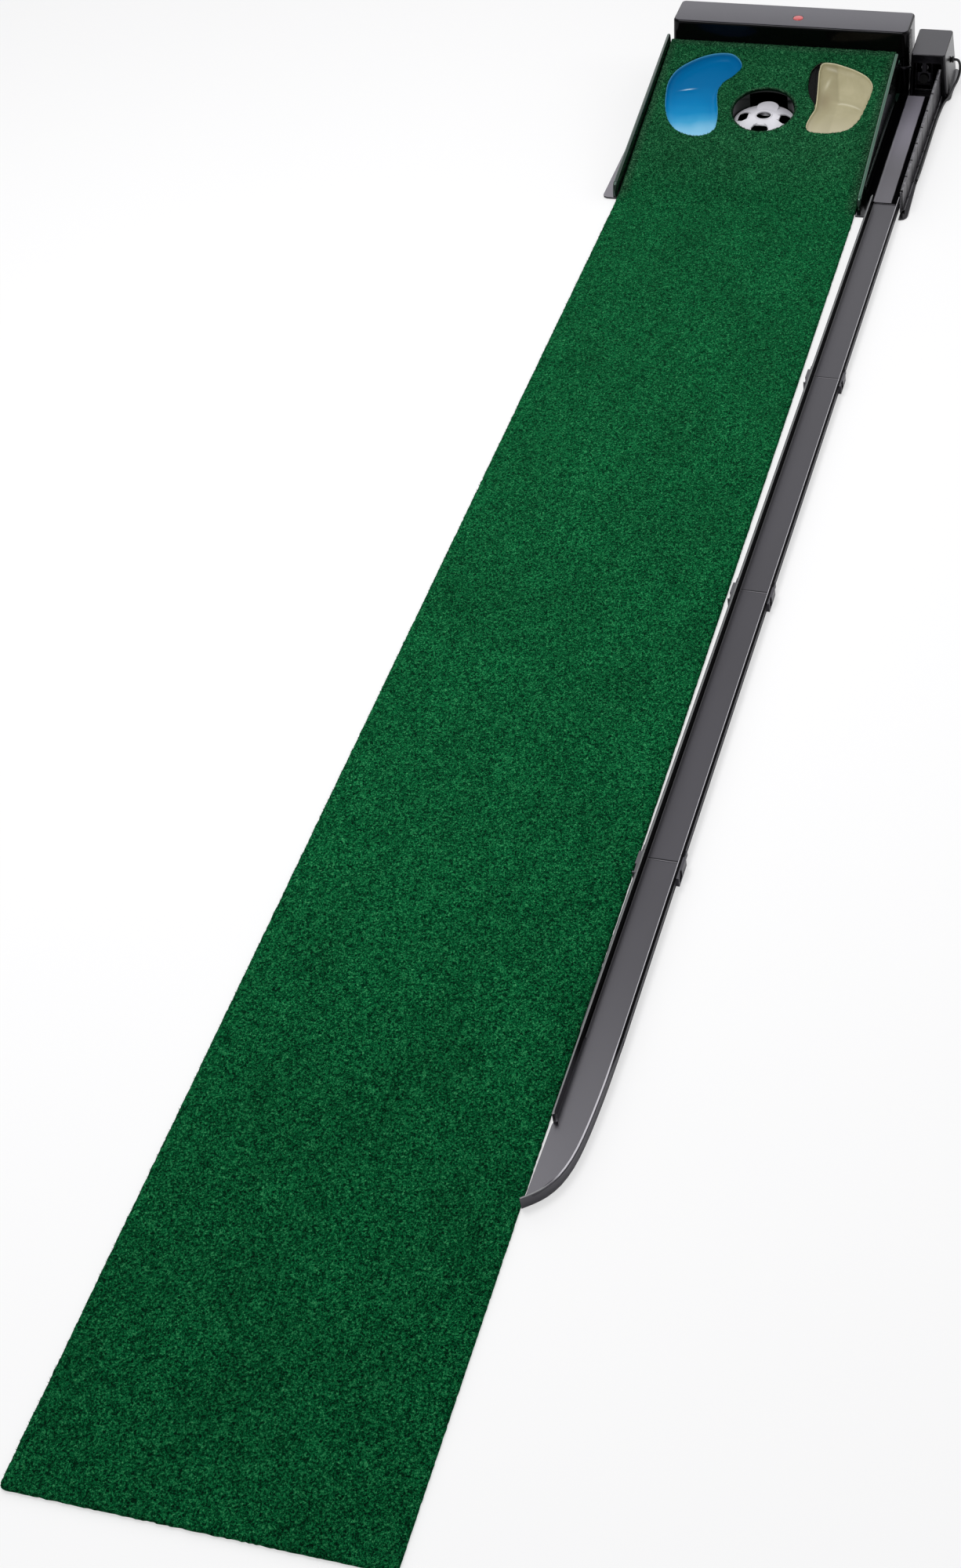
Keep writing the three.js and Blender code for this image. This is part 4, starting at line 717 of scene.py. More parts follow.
# ------------------------------------------------- carried-over CAD nodes
CAD_LOOK = {
    "base_plate": (BASE, 0.5, 3), "ramp_deck": (DEEP, 0.35, 2), "ball_gutter": (DEEP, 0.4, 2),
    "chute_floor": (CHUTE, 0.3, 2), "chute_wall": (WALL, 0.45, 3), "ball_exit_guide": (GLOSS, 0.5, 3),
    "cup_liner": (LINER, 0.3, 2), "cup_base": (DEEP, 0.35, 2),
    "target_plate_pin": (STEEL, 0.2, 2), "target_plate_spring": (STEEL, 0, 1), "ball_sensor_switch": (DEEP, 0.3, 2),
    "kicker_housing": (BOX, 0.6, 3), "kicker_frame": (ZINC, 0.25, 2), "kicker_pivot_pin": (STEEL, 0.25, 2),
    "kicker_arm": (GLOSS, 0.5, 3), "kicker_pad": (RUBBER, 0.6, 3), "solenoid_body": (COIL_M, 0.5, 3), "solenoid_plunger": (STEEL, 0.3, 2),
    "control_board": (BOARD_M, 0.2, 2), "cord_grommet": (RUBBER, 0.4, 2),
    "base_screw_1": (STEEL, 0.15, 2), "base_screw_2": (STEEL, 0.15, 2), "base_screw_3": (STEEL, 0.15, 2), "base_screw_4": (STEEL, 0.15, 2),
    "track_section_1": (TRACK, 0.3, 2), "track_section_2": (TRACK, 0.3, 2), "track_section_3": (TRACK, 0.3, 2), "track_end_section": (TRACK, 0.3, 2),
}
SLOT = {r["node"]: r["material_slot"] for r in frame["record"]["subparts"]}
for name, (mat, width, seg) in CAD_LOOK.items():
    if name not in NODES:
        continue
    ob = NODES[name]
    bpy.context.view_layer.objects.active = ob
    ob.select_set(True)
    bpy.ops.mesh.customdata_custom_splitnormals_clear()
    ob.select_set(False)
    ob.data.polygons.foreach_set("use_smooth", [True] * len(ob.data.polygons))
    dress(ob, mat)
    finish_edges(ob, width, seg, 34, weld=True)


def piece(ob, body, slot, mat, *nodes):
    dress(ob, mat)
    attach(ob, body)
    if nodes:
        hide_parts(*nodes)
    return ob


# --------------------------------------------------------------------- turf
WATER = [[-103, 391], [-84, 389], [-68, 374], [-61, 355], [-70, 331], [-84, 312], [-90, 290], [-86, 264],
         [-79, 236], [-75, 210], [-75, 190], [-86, 174], [-108, 168], [-135, 176], [-155, 194], [-171, 226], [-181, 268],
         [-184, 308], [-175, 340], [-152, 367], [-127, 384]]
SAND_CUT = [[75, 379], [95, 381], [118, 375], [147, 362], [167, 347], [178, 327], [179, 305], [176, 278],
            [172, 248], [164, 222], [150, 206], [128, 198], [101, 196], [87, 200], [81, 212], [83, 236], [87, 258], [83, 272],
            [73, 288], [66, 310], [63, 337], [65, 362]]
SAND_TRAY = [[80, 379], [97, 381], [118, 375], [147, 362], [167, 347], [178, 327], [179, 305], [176, 278],
             [172, 248], [164, 222], [150, 206], [128, 198], [101, 196], [87, 200], [81, 212], [83, 236], [88, 258], [87, 280],
             [84, 305], [80, 335], [77, 362]]


def bend(y):
    """Underside height and slope angle of the mat at y."""
    k = T / 108.0
    y = np.asarray(y, float)
    z = np.where(y < -29, 0.0, np.where(y < 25, k * (y + 29) ** 2, 54 * 54 * k + (y - 25) * T))
    a = np.arctan(np.where(y < -29, 0.0, np.where(y < 25, 2 * k * (y + 29), T)))
    return z, a


def mat_point(x, y, h):
    z, a = bend(y)
    return np.stack([np.asarray(x) / 1000.0, (y - h * np.sin(a) - CUP_Y) / 1000.0, (z + h * np.cos(a)) / 1000.0], -1)


def cdt(points, loops):
    """Triangles over the points, with the loops as edges; (points, triangles)."""
    edges = []
    for loop in loops:
        edges += [(int(loop[i]), int(loop[(i + 1) % len(loop)])) for i in range(len(loop))]
    out = geometry.delaunay_2d_cdt([Vector((float(p[0]), float(p[1]))) for p in points], edges, [], 0, 1e-6, True)
    v, f, orig = out[0], out[2], out[3]
    back = np.array([o[0] if o else -1 for o in orig])
    return np.array([[p.x, p.y] for p in v]), np.array(f), back


def turf():
    pitch = 3.6
    split = -40.0
    hole_w = outline(WATER, 300) * (1, COS)
    hole_s = outline(SAND_CUT, 260) * (1, COS)
    a = np.linspace(0, 2 * math.pi, 180, endpoint=False)
    hole_c = np.stack([54 * np.cos(a), CUP_Y + 54 * np.sin(a)], 1)
    holes = [hole_w, hole_s, hole_c]
    # cut edges are a little ragged
    for h in holes:
        h += rng.normal(0, 0.28, h.shape)
    nx = int(round(2 * HALF / pitch))
    xs = np.linspace(-HALF, HALF, nx + 1)
    ny = int(round((split - FRONT) / pitch))
    ys = np.linspace(FRONT, split, ny + 1)
    gx, gy = np.meshgrid(xs, ys)
    jx = rng.uniform(-0.36, 0.36, gx.shape) * pitch
    jy = rng.uniform(-0.36, 0.36, gy.shape) * pitch
    jx[:, 0] = rng.normal(0, 0.25, ny + 1)
    jx[:, -1] = -np.abs(rng.normal(0, 0.25, ny + 1))
    jy[0] = rng.normal(0, 0.25, nx + 1)
    jx[0], jx[-1], jy[-1] = 0, 0, 0
    gx, gy = gx + jx, gy + jy
    # rounded front corners
    r = 7.0
    for sx in (-1, 1):
        cx, cy = sx * (HALF - r), FRONT + r
        m = ((gx - cx) * sx > 0) & (gy < cy)
        d = np.hypot(gx - cx, gy - cy)
        lim = np.maximum(np.abs(gx - cx), np.abs(gy - cy))
        k = np.where(m & (d > 1e-6), lim / np.maximum(d, 1e-6), 1.0)
        gx, gy = np.where(m, cx + (gx - cx) * k, gx), np.where(m, cy + (gy - cy) * k, gy)
    flat = np.stack([gx.ravel(), gy.ravel()], 1)
    W = nx + 1
    tris = []
    i = np.arange(ny)[:, None] * W + np.arange(nx)[None]
    flip = rng.random(i.shape) < 0.5
    for f, (p, q) in ((flip, ((0, 1, W + 1), (0, W + 1, W))), (~flip, ((0, 1, W), (1, W + 1, W)))):
        b = i[f]
        for t in (p, q):
            tris.append(np.stack([b + t[0], b + t[1], b + t[2]], 1))
    tris = [np.concatenate(tris)]
    # sloping part, triangulated round the cut-outs
    seam = np.arange(ny * W, ny * W + W)
    rows = np.linspace(split, REAR, int(round((REAR - split) / pitch)) + 1)
    left = np.stack([-HALF + rng.normal(0, 0.2, len(rows)), rows], 1)[1:-1]
    right = np.stack([HALF + rng.normal(0, 0.2, len(rows)), rows], 1)[1:-1]
    back = np.stack([xs, REAR + rng.normal(0, 0.35, len(xs))], 1)
    border = np.concatenate([flat[seam], right, back[::-1], left[::-1]])
    gx, gy = np.meshgrid(xs[1:-1], rows[1:-1])
    inner = np.stack([gx.ravel(), gy.ravel()], 1) + rng.uniform(-0.36, 0.36, (gx.size, 2)) * pitch
    keep = np.ones(len(inner), bool)
    for h in holes:
        keep &= ~inside(inner, h) & (distance(inner, h) > 1.6)
    pts = np.concatenate([border] + holes + [inner[keep]])
    loops, at = [np.arange(len(border))], len(border)
    for h in holes:
        loops.append(np.arange(at, at + len(h)))
        at += len(h)
    v, f, orig = cdt(pts, loops)
    c = v[f].mean(1)
    ok = inside(c, border)
    for h in holes:
        ok &= ~inside(c, h)
    f = f[ok]
    ids = np.full(len(v), -1)
    extra = []
    for k in range(len(v)):
        o = orig[k]
        if 0 <= o < W:
            ids[k] = seam[o]
        else:
            ids[k] = len(flat) + len(extra)
            extra.append(v[k])
    plan = np.concatenate([flat, np.array(extra)])
    tris.append(ids[f])
    tris = np.concatenate(tris)
    used = np.unique(tris)
    remap = np.full(len(plan), -1)
    remap[used] = np.arange(len(used))
    plan, tris = plan[used], remap[tris]
    # anticlockwise seen from above
    e1, e2 = plan[tris[:, 1]] - plan[tris[:, 0]], plan[tris[:, 2]] - plan[tris[:, 0]]
    area = e1[:, 0] * e2[:, 1] - e1[:, 1] * e2[:, 0]
    tris[area < 0] = tris[area < 0][:, ::-1]
    # border edges
    e = np.concatenate([tris[:, [0, 1]], tris[:, [1, 2]], tris[:, [2, 0]]])
    key = np.sort(e, 1)
    uniq, inv, cnt = np.unique(key, axis=0, return_inverse=True, return_counts=True)
    rim = e[cnt[inv.ravel()] == 1]
    rim_v = np.unique(rim)
    n = len(plan)
    # outward direction at each border point
    out = np.zeros((n, 2))
    d = plan[rim[:, 1]] - plan[rim[:, 0]]
    nrm = np.stack([d[:, 1], -d[:, 0]], 1)
    np.add.at(out, rim[:, 0], nrm)
    np.add.at(out, rim[:, 1], nrm)
    out /= np.maximum(np.linalg.norm(out, axis=1), 1e-9)[:, None]
    height = PILE + np.clip(rng.normal(0, 0.42, n), -0.9, 0.9)
    wave = 0.35 * np.sin(plan[:, 0] / 11.3 + 2.1 * np.sin(plan[:, 1] / 37.0)) * np.sin(plan[:, 1] / 13.1 + 1.7 * np.sin(plan[:, 0] / 29.0))
    height += wave
    height[rim_v] = 3.25 + rng.normal(0, 0.22, len(rim_v))
    top = mat_point(plan[:, 0], plan[:, 1], height)
    mid_plan = plan[rim_v] + out[rim_v] * (0.35 + rng.normal(0, 0.12, (len(rim_v), 1)))
    mid = mat_point(mid_plan[:, 0], mid_plan[:, 1], np.full(len(rim_v), 1.7) + rng.normal(0, 0.15, len(rim_v)))
    low_plan = plan[rim_v] - out[rim_v] * 0.1
    low1 = mat_point(low_plan[:, 0], low_plan[:, 1], np.full(len(rim_v), 0.95))
    low = mat_point(low_plan[:, 0], low_plan[:, 1], np.full(len(rim_v), 0.06))
    m = len(rim_v)
    pos = {int(v): k for k, v in enumerate(rim_v)}
    A = np.array([pos[int(v)] for v in rim[:, 0]])
    B = np.array([pos[int(v)] for v in rim[:, 1]])
    walls = []
    levels = [(rim[:, 0], rim[:, 1]), (n + A, n + B), (n + m + A, n + m + B), (n + 2 * m + A, n + 2 * m + B)]
    for (a0, b0), (a1, b1) in zip(levels, levels[1:]):
        walls.append(np.stack([b0, a0, a1, b1], 1))
    # underside over the same border, with rows across the bend
    nxt = {int(a): int(b) for a, b in rim}
    todo, loops = set(nxt), []
    while todo:
        s = min(todo)
        loop, k = [], s
        while k in todo:
            todo.remove(k)
            loop.append(k)
            k = nxt[k]
        loops.append(loop)
    flat_id = {v: k for k, v in enumerate(v for lp in loops for v in lp)}
    bpts = [low_plan[pos[v]] for lp in loops for v in lp]
    bl = [[flat_id[v] for v in lp] for lp in loops]
    cross = [[x, y] for y in (-29, -11, 7, 25) for x in np.linspace(-HALF + 4, HALF - 4, 24)]
    bpts = np.array(bpts + cross)
    v2, f2, o2 = cdt(bpts, bl)
    polys = [np.array([bpts[k] for k in lp]) for lp in bl]
    polys.sort(key=lambda p: -abs(signed_area(p)))
    c = v2[f2].mean(1)
    ok = inside(c, polys[0])
    for p in polys[1:]:
        ok &= ~inside(c, p)
    f2 = f2[ok]
    back_ids = {k: v for v, k in flat_id.items()}
    base = n + 3 * m
    more, ids2 = [], []
    for k in range(len(v2)):
        o = o2[k]
        if 0 <= o < len(flat_id):
            ids2.append(n + 2 * m + pos[back_ids[o]])
        else:
            ids2.append(base + len(more))
            more.append(v2[k])
    more = np.array(more) if more else np.zeros((0, 2))
    ids2 = np.array(ids2)
    e1, e2 = v2[f2[:, 1]] - v2[f2[:, 0]], v2[f2[:, 2]] - v2[f2[:, 0]]
    area = e1[:, 0] * e2[:, 1] - e1[:, 1] * e2[:, 0]
    f2[area > 0] = f2[area > 0][:, ::-1]
    under = mat_point(more[:, 0], more[:, 1], np.full(len(more), 0.06)) if len(more) else np.zeros((0, 3))
    verts = np.concatenate([top, mid, low1, low, under])
    pile = np.concatenate([height / PILE, np.full(m, 0.42), np.full(m, 0.2), np.zeros(m + len(more))])
    faces = list(tris) + [tuple(q) for w in walls for q in w] + list(ids2[f2])
    ob = make("turf_pile", verts, faces)
    at = ob.data.attributes.new("pile", "FLOAT", "POINT")
    at.data.foreach_set("value", pile.astype(np.float32)[: len(ob.data.vertices)])
    return ob, plan, rim, out


turf_ob, turf_plan, turf_rim, turf_out = turf()
piece(turf_ob, "head", "turf", TURF, "turf_mat")


def spikes(name, base, direction, length, width, shade):
    """Closed three-sided fibres, one for each base point."""
    n = len(base)
    direction = direction / np.linalg.norm(direction, axis=1)[:, None]
    helper = rng.normal(0, 1, (n, 3))
    u = np.cross(direction, helper)
    u /= np.linalg.norm(u, axis=1)[:, None]
    v = np.cross(direction, u)
    verts = np.zeros((n, 4, 3))
    for k in range(3):
        a = 2 * math.pi * k / 3
        verts[:, k] = base + (u * math.cos(a) + v * math.sin(a)) * width[:, None]
    verts[:, 3] = base + direction * length[:, None]
    i = np.arange(n)[:, None] * 4
    faces = np.concatenate([i + [[0, 1, 3]], i + [[1, 2, 3]], i + [[2, 0, 3]], i + [[2, 1, 0]]])
    me = bpy.data.meshes.new(name)
    me.vertices.add(n * 4)
    me.vertices.foreach_set("co", verts.astype(np.float32).ravel())
    me.loops.add(len(faces) * 3)
    me.loops.foreach_set("vertex_index", faces.astype(np.int32).ravel())
    me.polygons.add(len(faces))
    me.polygons.foreach_set("loop_start", np.arange(len(faces), dtype=np.int32) * 3)
    me.update(calc_edges=True)
    me.validate()
    ob = bpy.data.objects.new(name, me)
    bpy.context.scene.collection.objects.link(ob)
    at = me.attributes.new("shade", "FLOAT", "POINT")
    at.data.foreach_set("value", np.repeat(shade, 4).astype(np.float32))
    return ob


def edge_fibres():
    """Loose fibres along the mat's edges and round the cut-outs."""
    p0, p1 = turf_plan[turf_rim[:, 0]], turf_plan[turf_rim[:, 1]]
    o0, o1 = turf_out[turf_rim[:, 0]], turf_out[turf_rim[:, 1]]
    seg = np.linalg.norm(p1 - p0, axis=1)
    count = np.maximum(1, np.round(seg / 0.62)).astype(int)
    idx = np.repeat(np.arange(len(seg)), count)
    t = rng.random(len(idx))
    pt = p0[idx] * (1 - t)[:, None] + p1[idx] * t[:, None]
    ov = o0[idx] * (1 - t)[:, None] + o1[idx] * t[:, None]
    keep = np.ones(len(idx), bool)
    pt, ov = pt[keep], ov[keep]
    n = len(pt)
    h = rng.uniform(1.6, 3.6, n)
    pt = pt - ov * rng.uniform(0.3, 2.0, (n, 1))
    z, a = bend(pt[:, 1])
    base = mat_point(pt[:, 0], pt[:, 1], h)
    tang = np.stack([-ov[:, 1], ov[:, 0]], 1)
    side = ov * rng.uniform(-0.15, 0.75, (n, 1)) + tang * rng.normal(0, 0.6, (n, 1))
    up = rng.uniform(0.5, 1.1, n)
    # rail sides of the ramp: keep the fibres upright, clear of the rails
    tight = (pt[:, 1] > 0) & (np.abs(pt[:, 0]) > 195)
    side[tight, 0] *= 0.1
    rear = pt[:, 1] > 405
    side[rear, 1] = np.minimum(side[rear, 1], 0.05)
    d = np.stack([side[:, 0], side[:, 1] * np.cos(a) - up * np.sin(a), side[:, 1] * np.sin(a) + up * np.cos(a)], 1)
    return spikes("turf_edge_fibres", base, d, rng.uniform(1.6, 3.6, n) / 1000, rng.uniform(0.22, 0.42, n) / 1000, np.clip(rng.normal(0.46, 0.2, n), 0, 1))


piece(edge_fibres(), "head", "turf", BLADE)


def field_fibres(count):
    """Crimped fibre ends standing out of the pile, all over the mat."""
    x = rng.uniform(-HALF + 1, HALF - 1, count)
    y = rng.uniform(FRONT + 1, REAR - 1, count)
    p = np.stack([x, y], 1)
    keep = np.ones(count, bool)
    near = y > 130
    for h in (outline(WATER, 120) * (1, COS), outline(SAND_CUT, 120) * (1, COS)):
        keep[near] &= ~inside(p[near], h)
    keep &= np.hypot(x, y - CUP_Y) > 54.2
    p = p[keep]
    n = len(p)
    z, a = bend(p[:, 1])
    base = mat_point(p[:, 0], p[:, 1], rng.uniform(2.6, 3.6, n))
    ang = rng.uniform(0, 2 * math.pi, n)
    lean = rng.uniform(0.5, 1.7, n)
    sx, sy, up = lean * np.cos(ang), lean * np.sin(ang), np.ones(n)
    d = np.stack([sx, sy * np.cos(a) - up * np.sin(a), sy * np.sin(a) + up * np.cos(a)], 1)
    return spikes("turf_field_fibres", base, d, rng.uniform(2.0, 3.4, n) / 1000, rng.uniform(0.28, 0.5, n) / 1000, np.clip(rng.normal(0.5, 0.22, n), 0, 1))


piece(field_fibres(46000), "head", "turf", BLADE)


# -------------------------------------------------------------- hazard trays
def tray(name, points, cut, floor, depth):
    edge = outline(points, 240)
    hole = outline(cut, 240)
    # the flange tucks under the turf, and is trimmed short where the cut-out is wider than the tray
    gap = np.where(inside(edge, grow(hole, -2.5)), 0.7, 5.0)
    k = np.ones(9) / 9
    gap = np.convolve(np.concatenate([gap[-4:], gap, gap[:4]]), k, "valid")
    rim = grow(edge, gap)
    rings = [edge] + [grow(edge, -d) for d in (0.35, 0.8, 1.3, 1.9, 2.8, 3.9, 5.2, 6.8, 8.8, 11.0, 13.5)]
    lo, hi = edge.min(0), edge.max(0)
    gx, gy = np.meshgrid(np.arange(lo[0], hi[0], 2.6), np.arange(lo[1], hi[1], 2.6))
    grid = np.stack([gx.ravel(), gy.ravel()], 1)
    ins = inside(grid, edge)
    grid = grid[ins]
    grid = grid[distance(grid, edge) > 15.0]
    soft = []
    for r in rings[1:]:
        d = distance(r, edge)
        want = np.linalg.norm(r - edge, axis=1)
        ok = inside(r, edge) & (d > want * 0.93)
        soft.append(r[ok][::2] if want.mean() > 4.5 else r[ok])
    pts = np.concatenate([rim, edge] + soft + [grid])
    n0 = len(rim)
    v, f, orig = cdt(pts, [np.arange(n0), np.arange(n0, n0 + len(edge))])
    c = v[f].mean(1)
    f = f[inside(c, rim)]
    e1, e2 = v[f[:, 1]] - v[f[:, 0]], v[f[:, 2]] - v[f[:, 0]]
    area = e1[:, 0] * e2[:, 1] - e1[:, 1] * e2[:, 0]
    f[area < 0] = f[area < 0][:, ::-1]
    d = distance(v, edge) * np.where(inside(v, edge), 1, -1)
    d[d < 1e-3] = np.minimum(d[d < 1e-3], 0)
    base = floor(v[:, 0], v[:, 1])
    # rolled lip, then a leaning wall that runs into the floor with a fillet
    t = np.clip(d / 15.0, 0, 1)
    n = -0.12 + (base + 0.12) * (1 - (1 - t) ** 2.6) * np.clip(0.25 + d / 1.6, 0, 1)
    n = n + 3.3 * np.exp(-((d - 0.8) / 0.75) ** 2) * (d > 0.02)
    n = np.where(d <= 0.02, -0.12, n)
    top = np.array([S(x, s, h) for (x, s), h in zip(v, n)])
    bot = np.array([S(x, s, h - 1.4) for (x, s), h in zip(v, n)])
    m = len(v)
    e = np.concatenate([f[:, [0, 1]], f[:, [1, 2]], f[:, [2, 0]]])
    key = np.sort(e, 1)
    u, inv, cnt = np.unique(key, axis=0, return_inverse=True, return_counts=True)
    b = e[cnt[inv.ravel()] == 1]
    faces = list(f) + list(f[:, ::-1] + m) + [(q, p, p + m, q + m) for p, q in b]
    ob = make(name, np.concatenate([top, bot]), faces)
    at = ob.data.attributes.new("rim", "FLOAT", "POINT")
    at.data.foreach_set("value", np.tile(np.exp(-((d - 0.6) / 0.7) ** 2), 2).astype(np.float32))
    return ob


def water_floor(x, s):
    """A flat pool with a soft crease across the middle, shallower towards the golfer."""
    n = -11.0 + 0.045 * np.maximum(0, 262 - s)
    crease = 1.2 * np.exp(-((s - 299 - 0.22 * (x + 150)) / 2.2) ** 2) * np.exp(-((x + 149) / 15.0) ** 2)
    return n + crease


def sand_floor(x, s):
    """Three scooped facets that meet in a soft star, with a low ridge running out to the right wall."""
    # the crease from the back wall bends down to the middle of the bowl
    bendx = 124 - 19 * np.clip((s - 292) / 88.0, 0, 1) ** 0.8
    u = x - bendx
    left = -13.2 + 0.16 * np.maximum(0, 118 - x) + 0.030 * np.maximum(0, 262 - s)
    rear = -13.4 + 0.085 * np.maximum(0, u) + 0.050 * np.maximum(0, s - 288)
    front = -13.3 + 0.080 * np.maximum(0, 284 - s) + 0.030 * np.maximum(0, x - 124)
    k = 2.0
    n = np.log(np.exp(k * (left + 13)) + np.exp(k * (rear + 13)) + np.exp(k * (front + 13))) / k - 13.2
    ridge_y = 290 - 0.0085 * np.maximum(0, x - 122) ** 2
    n = n + 1.0 * np.exp(-((s - ridge_y) / 2.8) ** 2) * np.clip((x - 118) / 8.0, 0, 1) * np.clip((172 - x) / 22.0, 0, 1)
    fold = 0.9 * np.exp(-(u / 3.2) ** 2) * np.clip((s - 286) / 10.0, 0, 1)
    spur = 1.1 * np.exp(-(((x - 94) - 0.10 * (s - 330)) / 3.4) ** 2) * np.exp(-((s - 334) / 17.0) ** 2)
    return n - fold + spur


piece(tray("water_hazard_bowl", WATER, WATER, water_floor, 11), "head", "blue_plastic", WATER_M, "water_hazard_tray")
piece(tray("sand_hazard_bowl", SAND_TRAY, SAND_CUT, sand_floor, 12), "head", "sand_plastic", SAND_M, "sand_hazard_tray")


# ------------------------------------------------------------------- hood
def hood():
    z0, z1 = 3.3, 115.0

    def lerp(a, b, t):
        return a * (1 - t) + b * t
    low = (-207.0, 225.0, 412.0, 493.0, 9.0, 9.0, 6.0, 6.0)
    high = (-200.5, 224.0, 413.2, 490.5, 12.0, 12.0, 8.0, 8.0)

    def ring(z, inset=0.0, flat=None):
        t = (min(z, z1) - z0) / (z1 - 3 - z0)
        t = min(t, 1.0)
        v = [lerp(a, b, t) for a, b in zip(low, high)]
        r = rounded_rect(v[0] + inset, v[1] - inset, v[2] + inset, v[3] - inset, [max(1.0, q - inset) for q in v[4:]], 10)
        return [P(x, y, flat if flat is not None else z) for x, y in r]
    rings = []
    for z in (z0, 12, 30, 55, 80, 100, 107, 110.6):
        rings.append(ring(z))
    R = 4.4
    for k in range(1, 10):
        a = k / 9 * math.pi / 2
        rings.append(ring(z1 - R + R * math.sin(a), R * (1 - math.cos(a))))
    rings.append(ring(z1, 8.0, z1 + 0.02))
    outer_top = len(rings) - 1
    inner = [ring(z, 2.8) for z in (z0, 12, 60, 108)] + [ring(110.5, 3.6), ring(111.6, 6.0), ring(111.8, 12)]
    n = len(rings[0])
    verts = [p for r in rings for p in r] + [p for r in inner for p in r]
    faces = []

    def band(a, b, flip=False):
        for i in range(n):
            j = (i + 1) % n
            q = (a * n + i, a * n + j, b * n + j, b * n + i)
            faces.append(tuple(reversed(q)) if flip else q)
    for k in range(outer_top):
        band(k, k + 1)
    off = outer_top + 1
    for k in range(len(inner) - 1):
        band(off + k, off + k + 1, True)
    band(0, off, True)
    ob_verts = verts
    # crowned top plate and its underside, each closed with a single face
    faces.append(tuple(outer_top * n + i for i in range(n)))
    faces.append(tuple(reversed([(off + len(inner) - 1) * n + i for i in range(n)])))
    return outward(make("backstop_shell", ob_verts, faces))


hood_ob = hood()
# seat of the round lamp in the top plate
LAMP = (21.5, 446.3)


def disc(name, cx, cy, profile, seg=72):
    """Lathe of (radius, height) points that start and end on the axis or close on themselves."""
    rings, verts, faces = [], [], []
    for r, z in profile:
        if r < 1e-6:
            rings.append([len(verts)])
            verts.append(P(cx, cy, z))
        else:
            rings.append(list(range(len(verts), len(verts) + seg)))
            verts += [P(cx + r * math.cos(2 * math.pi * i / seg), cy + r * math.sin(2 * math.pi * i / seg), z) for i in range(seg)]
    pairs = list(zip(rings, rings[1:]))
    if len(rings[0]) > 1:
        pairs.append((rings[-1], rings[0]))
    for a, b in pairs:
        for i in range(seg):
            j = (i + 1) % seg
            if len(a) == 1 and len(b) == 1:
                continue
            if len(a) == 1:
                faces.append((a[0], b[j], b[i]))
            elif len(b) == 1:
                faces.append((a[i], a[j], b[0]))
            else:
                faces.append((a[i], a[j], b[j], b[i]))
    return outward(make(name, verts, faces))


HAS_LAMP = "power_lamp" in NODES
if HAS_LAMP:
    hole = disc("lamp_hole", LAMP[0], LAMP[1], [(0, 100), (9.3, 100), (9.3, 114.2), (9.9, 116), (0, 116)])
    boolean(hood_ob, hole, "DIFFERENCE")
    lens = disc("lamp_lens", LAMP[0], LAMP[1], [(0, 108.5), (6.5, 108.5), (8.6, 108.5), (8.6, 110.0), (9.05, 110.2), (9.05, 114.3), (8.7, 114.9), (8.0, 115.25), (6.5, 115.45), (4.0, 115.6), (0, 115.65)])
    piece(lens, "head", "red_lens", RED, "power_lamp")
hood_ob.data.polygons.foreach_set("use_smooth", [True] * len(hood_ob.data.polygons))
finish_edges(hood_ob, 0, weighted=True)
piece(hood_ob, "head", "black_gloss", HOOD, "backstop_hood")


# ------------------------------------------------------------------ rails
def rail(name, path, x0, x1, radius, ribs=()):
    """A wall whose top and nose are rounded over; path is Y,Z, with its last edge along the floor."""
    n = len(path)
    verts = [P(x0, y, z) for y, z in path] + [P(x1, y, z) for y, z in path]
    bm = bmesh.new()
    bv = [bm.verts.new(v) for v in verts]
    bm.faces.new(bv[:n])
    bm.faces.new(list(reversed(bv[n:])))
    for i in range(n):
        j = (i + 1) % n
        bm.faces.new((bv[j], bv[i], bv[n + i], bv[n + j]))
    bmesh.ops.recalc_face_normals(bm, faces=bm.faces)
    edges = []
    for i in range(n - 1):
        if path[i][1] < 4 and path[i + 1][1] < 4:
            continue
        for a, b in ((bv[i], bv[i + 1]), (bv[n + i], bv[n + i + 1])):
            edges.append(bm.edges.get((a, b)))
    bmesh.ops.bevel(bm, geom=edges, offset=radius / 1000.0, segments=7, profile=0.5, affect="EDGES", clamp_overlap=True, miter_outer="ARC")
    me = bpy.data.meshes.new(name)
    bm.to_mesh(me)
    bm.free()
    me.polygons.foreach_set("use_smooth", [True] * len(me.polygons))
    ob = bpy.data.objects.new(name, me)
    bpy.context.scene.collection.objects.link(ob)
    return ob


def box(name, x0, x1, y0, y1, z0, z1):
    v = [P(x, y, z) for z in (z0, z1) for y in (y0, y1) for x in (x0, x1)]
    f = [(0, 2, 3, 1), (4, 5, 7, 6), (0, 1, 5, 4), (2, 6, 7, 3), (0, 4, 6, 2), (1, 3, 7, 5)]
    return outward(make(name, v, f, False))


nose = catmull([[3, 3.3], [3.1, 9], [4.6, 16], [8, 22.6], [14.5, 27.3]], 16, closed=False)
left = [tuple(p) for p in nose] + [(411.0, 89.4), (411.0, 3.3)]
rail_l = rail("rail_left", left, -211.6, -204.7, 3.0)
finish_edges(rail_l, 0, weighted=True)
piece(rail_l, "head", "black_gloss", RAIL_L, "side_rail_left")

nose = catmull([[12, 3.3], [12.3, 10], [14.5, 17], [19, 23], [26, 26.6]], 16, closed=False)
tail = catmull([[383, 90.8], [387.5, 89.6], [389.8, 84], [390.4, 70], [392, 66.2], [396, 66]], 12, closed=False)
right = [tuple(p) for p in nose] + [tuple(p) for p in tail] + [(409.0, 66.0), (409.0, 3.3)]
rail_r = rail("rail_right", right, 204.7, 211.6, 3.0)
boolean(rail_r, box("exit", 200, 222, 354.5, 404, 4.6, 57), "DIFFERENCE")
rail_r.data.polygons.foreach_set("use_smooth", [True] * len(rail_r.data.polygons))
